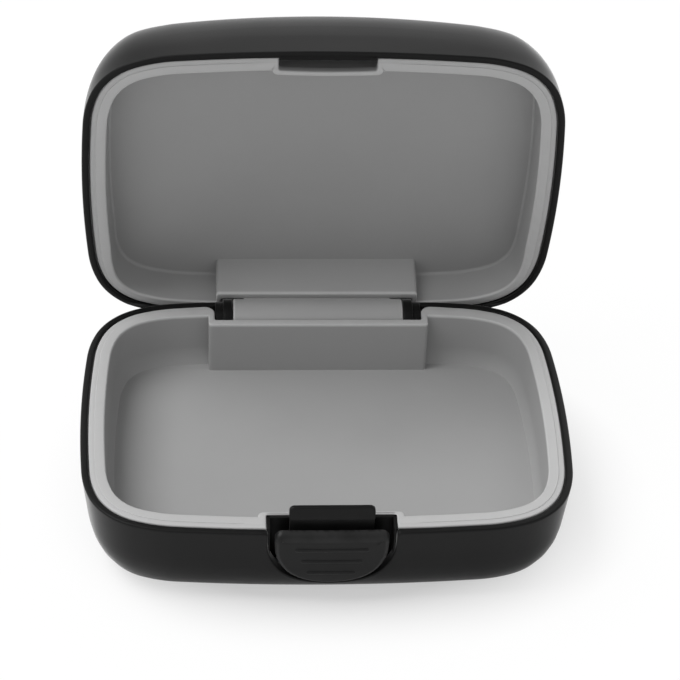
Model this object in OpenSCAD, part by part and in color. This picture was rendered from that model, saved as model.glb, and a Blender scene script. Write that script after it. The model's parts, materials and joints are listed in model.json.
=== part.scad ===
// Hard travel case for a pair of hearing aids, standing open.
// Two black shells with gray inner trays, joined by a barrel hinge at the rear,
// and held shut by a spring-loaded push latch at the front.
// Sizes are in millimetres. Inside the modules z = 0 is the base's rim plane
// and -Y is the front. place() then puts the base's flat underside at z = 0.

/* [Case] */
// Overall width, side to side
case_w = 82.8; // [78:0.2:88]
// Overall depth, front to rear, without the hinge barrel
case_d = 61.2; // [58:0.2:65]
// Height of the base shell below its rim
base_h = 17.2; // [15.4:0.2:22]
// Height of the lid shell above its rim
lid_h = 15.4; // [12.4:0.2:20]
// Wall at the rims
rim_t = 1.3; // [1:0.1:1.5]
// Wall below the rims, where the trays sit on its step
wall_t = 2.1; // [1.9:0.1:2.4]
// Floor of the base and top of the lid
floor_t = 1.6; // [1.2:0.1:2.2]

/* [Trays] */
// Width of a tray's flat rim
tray_rim = 2.7; // [2.2:0.1:3.4]
// Depth of the base tray below the base's rim
tray_depth = 10; // [9.4:0.1:10.2]
// Depth of the lid tray above the lid's rim
lid_tray_depth = 7.4; // [6.6:0.1:8.2]
// Thickness of a tray's floor
tray_t = 1; // [0.8:0.1:1.2]
// Height of the base tray's rim above the shell's rim
tray_proud = 0.05; // [0:0.05:0.3]

/* [Hinge] */
// Angle between the base's rim and the lid's rim in the pose shown
open_angle = 84; // [60:1:100]
// Distance of the hinge axis in from the rear face
hinge_in = 2.4; // [2:0.1:2.8]
// Distance of the hinge axis below the base's rim
hinge_down = 3.35; // [3:0.05:3.6]
// Radius of the barrel and of the end knuckles
knuckle_r = 4.2; // [3.8:0.1:4.4]
// Length of the centre barrel
barrel_l = 30.4; // [24:0.2:31]
// Length of one end knuckle
ear_l = 1.7; // [1.4:0.1:3]
// Radius of the hinge pin
pin_r = 1.2; // [0.9:0.1:1.6]

/* [Latch] */
// Half width of the push button
button_r = 9.25; // [8.4:0.05:9.5]
// Thickness of the push button
button_t = 1.7; // [1.4:0.1:2]
// How far the button stands out of the front wall
button_proud = 0.45; // [0.2:0.05:0.7]
// Width of the hook
hook_w = 13.9; // [11:0.1:14.5]
// Radius of the latch's pivot pin
pivot_r = 0.8; // [0.6:0.05:0.9]

/* [Fits] */
// Gap between the closed rims
parting_gap = 0.12; // [0.1:0.01:0.2]
// Gap between a tray's edge and the shell's rim
tray_gap = 0.1; // [0.05:0.01:0.15]
// Running clearance round a turning pin
run_gap = 0.05; // [0.03:0.01:0.08]
// Clearance round the knuckles
knuckle_gap = 0.3; // [0.3:0.05:0.5]
// Interference of a pin pressed into its hole
press = 0.01; // [0.005:0.005:0.02]

/* [Hidden] */
$fn = 96;
shell_black = [0.05, 0.05, 0.055];
tray_gray = [0.6, 0.6, 0.61];
steel = [0.7, 0.71, 0.73];

// Outline of the case: five arcs a quarter, side, side shoulder, corner, front shoulder, front.
// The turns between the arcs are whole-number ratios, so that neighbouring arcs meet exactly.
turn_c = 0.99712;
turn_s = 0.07584;
shoulder_c = 0.96;
shoulder_s = 0.28;
corner_c = 0.658944;
corner_s = 0.752192;
turn_a = atan2(turn_s, turn_c);
shoulder_a = atan2(shoulder_s, shoulder_c);
corner_a = atan2(corner_s, corner_c);
function mm3(v) = round(v * 1000) / 1000;
half_w = case_w / 2;
half_d = case_d / 2;
r_side_shoulder = 21.4;
r_corner = 12.35;
r_front_shoulder = 25.3;
a2 = turn_a + shoulder_a;
// The side and front radii follow from the width and depth, because the arcs have to close.
close_x = half_w - r_side_shoulder * turn_c + (r_side_shoulder - r_corner) * cos(a2)
          + (r_corner - r_front_shoulder) * sin(a2) + r_front_shoulder * turn_s;
close_y = half_d + r_side_shoulder * turn_s - (r_side_shoulder - r_corner) * sin(a2)
          - (r_corner - r_front_shoulder) * cos(a2) - r_front_shoulder * turn_c;
small = 1 - turn_c;
det = small * small - turn_s * turn_s;
r_side = mm3((close_x * small - turn_s * close_y) / det);
r_front = mm3((small * close_y - turn_s * close_x) / det);

// Shell profiles: drafted wall, large arc, small arc, flat.
base_draft = 6;
base_arc = 12;
base_arc_end = 50;
base_edge_r = 4;
lid_draft = 3;
lid_arc = 22;
lid_arc_end = 30;
lid_edge_r = 6;
// The profiles run this far in from the wall, and a plain plate fills the middle.
reach = 11.9;
plate_lap = 0.7;
// Blocks that only cut are larger than the case by these lengths.
cut_far = 60;
cut_lap = 1;
// Step that the trays sit on, and the trays' own edges
seat = 1.3;
tray_edge = rim_t + tray_gap;
tray_wall = tray_edge + tray_rim;
tray_draft = 0.05;
// Rounding at the foot of each tray's wall: its radius, and how high above the floor it starts
tray_fillet = 7.2;
tray_fillet_h = 3.85;
lid_fillet = 0.6;
lid_fillet_h = 0.57;
fillet_bite = 0.005;
lid_rim_back = 0.3;
lid_tray_rim = parting_gap + lid_rim_back;
tray_under = -tray_depth - tray_t;
// Inner faces of the walls: how far in from the wall, and how high above the floor's outside
base_inner = [[0.75, 8.9], [1.5, 5.7], [3.2, 3.2], [5.9, floor_t]];
lid_inner = [[0.5, 9.4], [2.6, 3.8], [6.4, floor_t]];
// Distance from the front face in to the base's inner wall, at a height from the rim plane
function wall_in(z) = wall_t + lookup(z + base_h, concat([[base_h - seat, 0]], [for (p = base_inner) [p[1], p[0]]]));

// Hinge places
axis_y = half_d - hinge_in;
axis_z = -hinge_down;
recess_r = knuckle_r + knuckle_gap;
end_gap = 0.1;
ear_gap = 0.3;
slot_gap = 2;
ear_in = barrel_l / 2 + end_gap;
ear_out = ear_in + ear_l;
base_recess_x = ear_out + slot_gap;
lid_recess_x = ear_out + ear_gap;
base_box_side = 0.6;
lid_box_side = 0.9;
base_box_x = base_recess_x + base_box_side;
lid_box_x = lid_recess_x + lid_box_side;
box_lip = 1;
box_lean = 0.8;
box_y = axis_y - recess_r - box_lip;
box_back = axis_y - 2;
box_back_mid = axis_y - 1.5;
box_mid_x = 13;
// The rear rims are rounded about the axis, so that the lid's rim swings past the base's.
relief_rise = 0.3;
relief_r = hinge_down + relief_rise;
lid_relief_r = relief_r + parting_gap;
tab_x = barrel_l / 2 - 2;
tab_front = 2.4;
tab_rear = -0.4;
tab_top = 3.6;

// Latch places, measured from the front face
front = -half_d;
button_gap = 1.2;
cut_r = button_r + button_gap;
cut_z = -2.75;
button_z = -3.4;
button_top = -0.25;
button_roll = 0.9;
stem_t = 0.9;
stem_in = 2.7;
stem_front = front + stem_in;
stem_back = stem_front + stem_t;
stem_room = 0.5;
pocket_back = stem_back + stem_room;
pocket_t = 0.6;
pocket_gap = 0.1;
pocket_lap = 0.15;
pocket_out = cut_r + pocket_lap;
pocket_floor = tray_under + 2;
bump_hole_x = pocket_out + pocket_gap;
bump_in = pocket_back + pocket_t + pocket_gap;
bump_t = 0.9;
bump_back = bump_in + bump_t;
bump_x = bump_hole_x + bump_t;
lid_lip = 0.8;
ledge_in = front + 1.75;
ledge_front = front + 0.6;
ledge_t = 0.7;
ledge_top = parting_gap + ledge_t;
ledge_x = hook_w / 2 + 1.2;
ledge_gap = 0.05;
lid_stem_room = 0.65;
lid_bump_t = 1.1;
hook_gap = 0.35;
hook_t = 2.1;
hook_room = 0.9;
hook_slope = 0.85;
nose_low = ledge_top + hook_gap;
nose_top = nose_low + hook_t;
nose_front_low = ledge_in + 0.25;
nose_front_top = nose_front_low + hook_slope;
// The pivot lies midway between the base tray's underside and the base's floor, clear of the front wall.
latch_room = tray_under + base_h - floor_t;
pivot_z = tray_under - latch_room / 2;
boss_gap = 0.3;
boss_r = min(1.5, latch_room / 2 - boss_gap);
boss_low = 0.7 * boss_r;
pivot_room = 0.66;
pivot_y = front + round(10 * (wall_in(pivot_z - boss_low) + boss_low + pivot_room)) / 10;
bridge_front = front + 0.9;
bridge_top = -6;
bridge_low = -8.4;
stem_low = pocket_floor - 0.7;
arm_x = 5.5;
arm_clear = 0.2;
arm_gap = 0.45;
arm_bend_z = tray_under - 0.8;
arm_foot_z = pivot_z - boss_r + boss_gap;
lug_in = arm_x + boss_gap;
lug_t = 1.6;
lug_r = boss_r + 0.1;
lug_foot = 0.6;
tail_x = 2.6;
tail_l = 4.6;
tail_low = pivot_z - 0.2;
tail_top = pivot_z + boss_r - boss_gap;
wire_r = 0.18;
coil_r = 1.5;
coil_turns = 2;
coil_y = pivot_y + 3.1;
// Grip ridges on the button: the top one's width and height on the button, and the step from one to the next
ridge_w = 12;
ridge_less = 2.3;
ridge_z = -3.3;
ridge_step = 2.6;
ridge_h = 0.45;
ridge_proud = 0.25;
ridge_roll = 0.3;

module black() {
  color(shell_black) children();
}

module gray() {
  color(tray_gray) children();
}

// Puts the base's underside at z = 0.
module place() {
  translate([0, 0, base_h]) children();
}

// Turns what is drawn closed about the hinge axis to the pose shown.
module place_open() {
  place() translate([0, axis_y, axis_z]) rotate([-open_angle, 0, 0]) translate([0, -axis_y, -axis_z]) children();
}

module turn_small() {
  multmatrix([[turn_c, -turn_s, 0, 0], [turn_s, turn_c, 0, 0], [0, 0, 1, 0], [0, 0, 0, 1]]) children();
}

module turn_shoulder() {
  multmatrix([[shoulder_c, -shoulder_s, 0, 0], [shoulder_s, shoulder_c, 0, 0], [0, 0, 1, 0], [0, 0, 0, 1]]) children();
}

module turn_corner() {
  multmatrix([[corner_c, -corner_s, 0, 0], [corner_s, corner_c, 0, 0], [0, 0, 1, 0], [0, 0, 0, 1]]) children();
}

// One arc of the outline: the profile is drawn with the wall's face at x = 0 and the inside at -x.
module arc_of(radius, angle) {
  rotate_extrude(angle = angle) translate([radius, 0]) children();
}

// Cuts an arc's far end off at the start of the next arc.
module past(radius) {
  translate([radius - reach - cut_lap / 2, 0, -cut_far / 2]) cube([cut_far, reach, cut_far]);
}

// A quarter of the outline, from the middle of the side to the middle of the front.
module quarter() {
  intersection() {
    translate([half_w - r_side, 0, 0]) {
      difference() {
        arc_of(r_side, turn_a + 1) children();
        turn_small() past(r_side);
      }
      turn_small() translate([r_side - r_side_shoulder, 0, 0]) {
        difference() {
          arc_of(r_side_shoulder, shoulder_a + 4) children();
          turn_shoulder() past(r_side_shoulder);
        }
        turn_shoulder() translate([r_side_shoulder - r_corner, 0, 0]) {
          difference() {
            arc_of(r_corner, corner_a + 4) children();
            turn_corner() past(r_corner);
          }
          turn_corner() translate([r_corner - r_front_shoulder, 0, 0]) {
            difference() {
              arc_of(r_front_shoulder, shoulder_a + 4) children();
              turn_shoulder() past(r_front_shoulder);
            }
            turn_shoulder() translate([r_front_shoulder - r_front, 0, 0]) arc_of(r_front, turn_a + 1) children();
          }
        }
      }
    }
    translate([0, 0, -cut_far / 2]) cube(cut_far);
  }
}

module half_ring() {
  quarter() children();
  mirror([0, 1, 0]) quarter() children();
}

module ring() {
  half_ring() children();
  mirror([1, 0, 0]) half_ring() children();
}

// Plate that fills the middle of a ring, between two heights.
module plate(low, high) {
  x = half_w - reach + plate_lap;
  y = half_d - reach + plate_lap;
  translate([-x, -y, low]) cube([2 * x, 2 * y, high - low]);
}

// Outside of a shell in section, with depth counted downwards.
module shell_outside(height, draft, arc, arc_end, edge) {
  wall_end = height - arc * (sin(arc_end) - sin(draft)) - edge * (1 - sin(arc_end));
  wall_in = wall_end * tan(draft);
  arc_x = mm3(wall_in + arc * cos(draft));
  arc_y = mm3(wall_end - arc * sin(draft));
  edge_x = mm3(arc_x - (arc - edge) * cos(arc_end));
  edge_y = mm3(arc_y + (arc - edge) * sin(arc_end));
  edge_start = mm3(arc_y + arc * sin(arc_end));
  slack = 0.004;
  difference() {
    polygon([[0, 0], [-reach, 0], [-reach, -height], [mm3(-height * tan(draft)), -height]]);
    difference() {
      translate([-arc_x, -height - cut_lap]) square([arc_x + cut_lap, height + cut_lap - mm3(wall_end)]);
      translate([-arc_x, -arc_y]) circle(arc + slack);
    }
    difference() {
      translate([-edge_x, -height - cut_lap]) square([edge_x + cut_lap, height + cut_lap - edge_start]);
      translate([-edge_x, -edge_y]) circle(edge + slack);
    }
  }
}

// Inside of a shell in section: the rim, the step that the tray sits on, and the inner wall down to the floor
module shell_inside(height, inner) {
  polygon(concat([[-rim_t, cut_lap], [-rim_t, -seat], [-wall_t, -seat]],
                 [for (p = inner) [-wall_t - p[0], -height + p[1]]],
                 [[-reach - cut_lap, -height + floor_t], [-reach - cut_lap, cut_lap]]));
}

module base_section() {
  difference() {
    shell_outside(base_h, base_draft, base_arc, base_arc_end, base_edge_r);
    shell_inside(base_h, base_inner);
  }
}

module lid_section() {
  difference() {
    shell_outside(lid_h, lid_draft, lid_arc, lid_arc_end, lid_edge_r);
    shell_inside(lid_h, lid_inner);
  }
}

// A tray in section, with depth counted downwards from the shell's rim.
module tray_section(top, depth, fillet, fillet_h) {
  low_wall = mm3(tray_wall + tray_draft * (top + depth));
  fillet_in = mm3(fillet - tray_draft * fillet_h - fillet_bite);
  fillet_x = low_wall + fillet_in;
  lap = tray_t / 10;
  skirt_t = 1.1;
  foot_t = 0.5;
  polygon([[-tray_edge, top], [-tray_wall, top], [-low_wall, -depth], [-reach, -depth], [-reach, -depth - tray_t],
           [-tray_wall + foot_t, -depth - tray_t], [-tray_wall + skirt_t, -seat], [-tray_edge, -seat]]);
  difference() {
    translate([-fillet_x, -depth - lap]) square([fillet_in + 3 * lap, fillet_h + lap]);
    translate([-fillet_x, fillet_h - depth]) circle(fillet);
  }
}

module lid_tray_section() {
  tray_section(-lid_rim_back, lid_tray_depth, lid_fillet, lid_fillet_h);
}

module axis_cylinder(radius, from_x, to_x) {
  translate([from_x, axis_y, axis_z]) rotate([0, 90, 0]) cylinder(r = radius, h = to_x - from_x);
}

module pivot_cylinder(radius, from_x, to_x) {
  translate([from_x, pivot_y, pivot_z]) rotate([0, 90, 0]) cylinder(r = radius, h = to_x - from_x);
}

module both_sides() {
  children();
  mirror([1, 0, 0]) children();
}

// Half-oval outline of the button, or of the cut that it sits in.
module half_oval(radius, centre, top) {
  translate([0, centre]) circle(radius);
  translate([-radius, centre]) square([2 * radius, top - centre]);
}

// Runs a drawing in x and z along y.
module along_y(from_y, to_y) {
  translate([0, to_y, 0]) rotate([90, 0, 0]) linear_extrude(to_y - from_y) children();
}

// Runs a drawing in y and z along x.
module along_x(from_x, to_x) {
  translate([from_x, 0, 0]) rotate([90, 0, 90]) linear_extrude(to_x - from_x) children();
}

// Base shell: outer wall and floor, knuckles, latch pocket and pivot lugs.
module base_shell() {
  black() place() difference() {
    union() {
      difference() {
        union() {
          ring() base_section();
          plate(-base_h, -base_h + floor_t);
        }
        along_y(front - button_proud - cut_lap, pocket_back + pocket_t) half_oval(cut_r, cut_z, cut_lap);
        axis_cylinder(recess_r, -ear_in, ear_in);
        both_sides() difference() {
          translate([ear_in, axis_y, axis_z]) cube([cut_far, 2 * hinge_down, 2 * hinge_down]);
          axis_cylinder(relief_r, ear_in - cut_lap, ear_in + cut_far);
        }
      }
      both_sides() {
        axis_cylinder(knuckle_r, ear_in, ear_out);
        // Web beside the knuckle
        axis_cylinder(relief_r, ear_in + ear_l / 2, base_recess_x - end_gap);
        translate([pocket_out - pocket_t, front + rim_t / 2, pocket_floor])
          cube([pocket_t, pocket_back + pocket_t - front - rim_t / 2, -pocket_floor]);
        along_x(lug_in, lug_in + lug_t) {
          translate([pivot_y, pivot_z]) circle(lug_r);
          translate([pivot_y - lug_r, -base_h + lug_foot]) square([2 * lug_r, pivot_z + base_h - lug_foot]);
        }
      }
      translate([-pocket_out, pocket_back, pocket_floor]) cube([2 * pocket_out, pocket_t, -pocket_floor]);
    }
    axis_cylinder(pin_r - press, -base_recess_x, base_recess_x);
    pivot_cylinder(pivot_r - press, -lug_in - lug_t - cut_lap, lug_in + lug_t + cut_lap);
  }
}

// Box that stands in from a tray's rear wall, round the hinge, with its front drafted towards the rim
module hinge_box(half_x, floor_z, rim_z) {
  along_x(-half_x, half_x)
    polygon([[box_y, floor_z], [box_back, floor_z], [box_back, rim_z], [box_y + box_lean, rim_z]]);
  translate([-box_mid_x, box_y + box_lip, min(floor_z, rim_z)])
    cube([2 * box_mid_x, box_back_mid - box_y - box_lip, abs(rim_z - floor_z)]);
}

// Base tray: rim, walls and floor, the box round the hinge and the bump round the latch pocket.
module base_tray() {
  gray() place() difference() {
    union() {
      ring() tray_section(tray_proud, tray_depth, tray_fillet, tray_fillet_h);
      plate(tray_under, -tray_depth);
      hinge_box(base_box_x, tray_under, tray_proud);
      translate([-bump_x, front + tray_wall, tray_under])
        cube([2 * bump_x, bump_back - front - tray_wall, tray_proud - tray_under]);
    }
    axis_cylinder(recess_r, -base_recess_x, base_recess_x);
    translate([-base_recess_x, axis_y, axis_z]) cube([2 * base_recess_x, 2 * hinge_down, 2 * hinge_down]);
    translate([-bump_hole_x, front - cut_lap, tray_under - cut_lap])
      cube([2 * bump_hole_x, bump_in - front + cut_lap, tray_proud - tray_under + 2 * cut_lap]);
  }
}

// Lid shell, drawn closed with its rim just above the base's rim.
module lid_shell() {
  black() place_open() difference() {
    union() {
      translate([0, 0, parting_gap]) mirror([0, 0, 1]) {
        ring() lid_section();
        plate(-lid_h, -lid_h + floor_t);
      }
      // Ledge behind the front rim that the hook catches on
      translate([-ledge_x, ledge_front, parting_gap]) cube([2 * ledge_x, ledge_in - ledge_front, ledge_t]);
    }
    axis_cylinder(recess_r, -lid_recess_x, lid_recess_x);
    axis_cylinder(lid_relief_r, -cut_far, cut_far);
    // Room above the ledge for the hook's nose
    translate([-ledge_x, front + rim_t, ledge_top])
      cube([2 * ledge_x, tray_wall, nose_top + hook_room - ledge_top]);
  }
}

// Lid tray, with the hinge box and the pocket that the hook comes up into.
module lid_tray() {
  pocket_x = ledge_x + ledge_gap;
  lid_pocket_back = stem_back + lid_stem_room;
  tray_top = lid_tray_depth + parting_gap + tray_t;
  bump_low = lid_tray_rim + lid_lip;
  gray() place_open() difference() {
    union() {
      mirror([0, 0, 1]) {
        translate([0, 0, -parting_gap]) ring() lid_tray_section();
        translate([0, 0, -parting_gap]) plate(-lid_tray_depth - tray_t, -lid_tray_depth);
      }
      hinge_box(lid_box_x, tray_top, lid_tray_rim);
      translate([-pocket_x - lid_bump_t, front + tray_wall, bump_low])
        cube([2 * (pocket_x + lid_bump_t), lid_pocket_back + lid_bump_t - front - tray_wall, tray_top - bump_low]);
    }
    axis_cylinder(recess_r, -lid_recess_x, lid_recess_x);
    translate([-tab_x, axis_y - tab_front, axis_z]) cube([2 * tab_x, tab_front + tab_rear, tab_top - axis_z]);
    translate([-pocket_x, front - cut_lap, -cut_lap])
      cube([2 * pocket_x, lid_pocket_back - front + cut_lap, cut_lap + nose_top + hook_room]);
  }
}

// Centre barrel of the hinge, with the tab that plugs into the lid tray's box.
module hinge_barrel() {
  gray() place_open() difference() {
    union() {
      axis_cylinder(knuckle_r, -barrel_l / 2, barrel_l / 2);
      translate([-tab_x, axis_y - tab_front, axis_z]) cube([2 * tab_x, tab_front + tab_rear, tab_top - axis_z]);
    }
    axis_cylinder(pin_r + run_gap, -ear_out, ear_out);
  }
}

module hinge_pin() {
  color(steel) place() axis_cylinder(pin_r, -ear_out, ear_out);
}

// Latch: push button, stem with the hook, and arm down to the pivot, moulded in one piece.
module latch_button() {
  black() place() difference() {
    union() {
      button_face();
      latch_stem();
    }
    pivot_cylinder(pivot_r + run_gap, -lug_in, lug_in);
  }
}

// What lies behind the front wall's face in section, with the face moved out by a shift
module wall_side(shift) {
  wall_end = base_h - base_arc * (sin(base_arc_end) - sin(base_draft)) - base_edge_r * (1 - sin(base_arc_end));
  slope = tan(base_draft);
  arc_x = mm3(wall_end * slope + base_arc * cos(base_draft));
  arc_y = mm3(wall_end - base_arc * sin(base_draft));
  low = arc_y + base_arc * sin(base_arc_end) - button_gap;
  slack = 0.004;
  difference() {
    polygon([[shift, 0], [-arc_x, 0], [-arc_x, -low], [mm3(shift - low * slope), -low]]);
    difference() {
      translate([-arc_x, -low - cut_lap]) square([arc_x + 2 * cut_lap, low + cut_lap - mm3(wall_end)]);
      translate([-arc_x, -arc_y]) circle(base_arc + shift + slack);
    }
  }
}

// Curved band on the front wall between two offsets, outwards positive, with its top edge rolled over
module front_band(inner, outer, roll) {
  translate([0, r_front - half_d, 0]) rotate([0, 0, 266]) rotate_extrude(angle = 8) translate([r_front, 0]) difference() {
    wall_side(outer);
    wall_side(inner);
    translate([-base_arc, button_top]) square([2 * base_arc, 2 * cut_lap]);
    translate([outer - roll, button_top - roll]) difference() {
      square(2 * roll);
      circle(roll);
    }
  }
}

module button_face() {
  intersection() {
    front_band(button_proud - button_t, button_proud, button_roll);
    along_y(front - button_proud - cut_lap, pocket_back) half_oval(button_r, button_z, button_top);
  }
  // Grip ridges
  for (k = [0 : 2]) {
    width = ridge_w - ridge_less * k;
    intersection() {
      front_band(0, button_proud + ridge_proud, ridge_roll);
      translate([-width / 2, front - button_proud - cut_lap, ridge_z - ridge_step * k])
        cube([width, tray_wall + cut_lap, ridge_h]);
    }
  }
}

module latch_stem() {
  // Hook, stem and the bridge to the button
  along_x(-hook_w / 2, hook_w / 2) {
    polygon([[stem_back, nose_top], [nose_front_top, nose_top], [nose_front_low, nose_low], [stem_front, nose_low],
             [stem_front, bridge_top], [bridge_front, bridge_top], [bridge_front, bridge_low],
             [stem_front, stem_low], [stem_back, stem_low]]);
  }
  // Arm back to the pivot, under the tray
  along_x(-arm_x, arm_x) {
    polygon([[stem_front, pocket_floor], [stem_back, pocket_floor], [stem_back, stem_low],
             [bump_in - pocket_gap, tray_under - arm_clear],
             [pivot_y, pivot_z + boss_r], [pivot_y, pivot_z - boss_r],
             [front + wall_in(arm_foot_z) + arm_gap, arm_foot_z],
             [front + wall_in(arm_bend_z) + arm_gap, arm_bend_z], [stem_front, stem_low]]);
    translate([pivot_y, pivot_z]) circle(boss_r);
  }
  // Tail that the spring lifts
  translate([-tail_x, pivot_y, tail_low]) cube([2 * tail_x, tail_l, tail_top - tail_low]);
}

module latch_pin() {
  color(steel) place() pivot_cylinder(pivot_r, -lug_in - lug_t, lug_in + lug_t);
}

// Coil spring between the base's floor and the latch's tail, swept along a helix.
spring_low = -base_h + floor_t;
coil_steps = 20;
wire_sides = 8;
coil_count = round(coil_turns * coil_steps);
coil_rise = tail_low - spring_low - 2 * wire_r;
function coil_point(i) = [coil_r * cos(i * 360 / coil_steps), coil_y + coil_r * sin(i * 360 / coil_steps),
                          spring_low + wire_r + coil_rise * i / coil_count];
function wire_ring(i) = [for (k = [0 : wire_sides - 1])
  let (t = i * 360 / coil_steps, w = k * 360 / wire_sides)
  coil_point(i) + wire_r * [cos(w) * cos(t), cos(w) * sin(t), sin(w)]];
coil_points = [for (i = [0 : coil_count]) each wire_ring(i)];
coil_faces = concat(
  [[for (k = [0 : wire_sides - 1]) k]],
  [[for (k = [wire_sides - 1 : -1 : 0]) coil_count * wire_sides + k]],
  [for (i = [0 : coil_count - 1], k = [0 : wire_sides - 1])
    let (a = i * wire_sides + k, b = i * wire_sides + (k + 1) % wire_sides)
    [a, a + wire_sides, b + wire_sides]],
  [for (i = [0 : coil_count - 1], k = [0 : wire_sides - 1])
    let (a = i * wire_sides + k, b = i * wire_sides + (k + 1) % wire_sides)
    [a, b + wire_sides, b]]);
echo(spring_gap = coil_rise / coil_turns - 2 * wire_r);

module latch_spring() {
  color(steel) place() polyhedron(coil_points, coil_faces);
}

base_shell();
base_tray();
lid_shell();
lid_tray();
hinge_barrel();
hinge_pin();
latch_button();
latch_pin();
latch_spring();
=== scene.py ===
"""Looks of a hard travel case for a pair of hearing aids, standing open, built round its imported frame."""

import json
import math
from types import SimpleNamespace

import bmesh
import bpy
import numpy as np
from mathutils import Matrix, Vector


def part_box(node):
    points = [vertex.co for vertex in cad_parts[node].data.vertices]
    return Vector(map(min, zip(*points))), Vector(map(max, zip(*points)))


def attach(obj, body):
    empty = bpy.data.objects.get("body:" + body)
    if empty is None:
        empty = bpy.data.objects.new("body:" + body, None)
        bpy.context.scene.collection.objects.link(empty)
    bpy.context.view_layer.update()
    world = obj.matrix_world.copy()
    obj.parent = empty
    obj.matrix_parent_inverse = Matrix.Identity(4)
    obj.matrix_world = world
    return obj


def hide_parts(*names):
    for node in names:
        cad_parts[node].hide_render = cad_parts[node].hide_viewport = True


bl_info = {
    "name": "Hearing Aid Case",
    "version": (1, 0, 0),
    "blender": (4, 5, 0),
    "location": "View3D > Sidebar > Case",
    "description": "Builds the moulded shells, trays, hinge and latch of an open case, with its stage",
    "category": "Object",
}

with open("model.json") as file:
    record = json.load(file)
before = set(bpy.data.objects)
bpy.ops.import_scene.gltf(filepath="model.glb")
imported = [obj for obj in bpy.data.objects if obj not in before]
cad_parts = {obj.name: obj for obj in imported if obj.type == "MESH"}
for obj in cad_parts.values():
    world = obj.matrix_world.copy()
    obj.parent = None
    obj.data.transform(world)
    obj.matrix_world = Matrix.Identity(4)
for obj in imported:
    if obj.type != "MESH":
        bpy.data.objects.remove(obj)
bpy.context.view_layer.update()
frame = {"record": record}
RECORD = frame["record"]
JOINTS = {joint["name"]: joint for joint in RECORD["behaviour"]["joints"]}
SLOTS = {material["slot"]: material for material in RECORD["materials"]}

# Lengths below are in millimetres, in the frame of the base's rim: z is 0 on the rim and -Y is the front.
MM = 0.001
WHITE = (1, 1, 1, 1)


def corner(node, end):
    """One corner of a node's box in millimetres: 0 for the lowest, 1 for the highest."""
    return np.array(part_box(node)[end]) / MM


# Sizes of the case, from the frame where it holds them
TRAY_PROUD = 0.05
BASE_H = corner("base_tray", 1)[2] - TRAY_PROUD
HALF_W = corner("base_shell", 1)[0]
HINGE = np.array(JOINTS["lid_hinge"]["pos_m"]) / MM - (0, 0, BASE_H)
AXIS_Y = HINGE[1]
AXIS_Z = HINGE[2]
OPEN_ANGLE = JOINTS["lid_hinge"]["range_deg"][1]
HINGE_IN = 2.4
HALF_D = AXIS_Y + HINGE_IN
FRONT = -HALF_D
BARREL_X = corner("hinge_barrel", 1)[0]
END_PLAY = 0.1
EAR_IN = BARREL_X + END_PLAY
EAR_OUT = corner("hinge_pin", 1)[0]
RECESS_GAP = 0.3
LID_RECESS_X = EAR_OUT + RECESS_GAP
KNUCKLE_R = 4.2
RECESS_R = 4.5
LID_H = 15.4
PARTING = 0.12
RIM_T = 1.3
WALL_T = 2.1
FLOOR_T = 1.6
SEAT = 1.3
# The rear rims pass each other on cylinders about the hinge's line, the base's just over its rim.
RELIEF_OVER = 0.3
RELIEF_R = RELIEF_OVER - AXIS_Z
LID_RELIEF_R = RELIEF_R + PARTING

# Trays
TRAY_EDGE = 1.4
TRAY_WALL = 4.1
TRAY_DRAFT = 0.05
BOX_Y = AXIS_Y - RECESS_R - 1

# Latch
CUT_R = 10.45
CUT_Z = -2.75
BUTTON_R = 9.25
BUTTON_Z = -3.4
BUTTON_TOP = -0.25
BUTTON_T = 1.7
BUTTON_PROUD = 0.45
HOOK_X = 6.95


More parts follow.
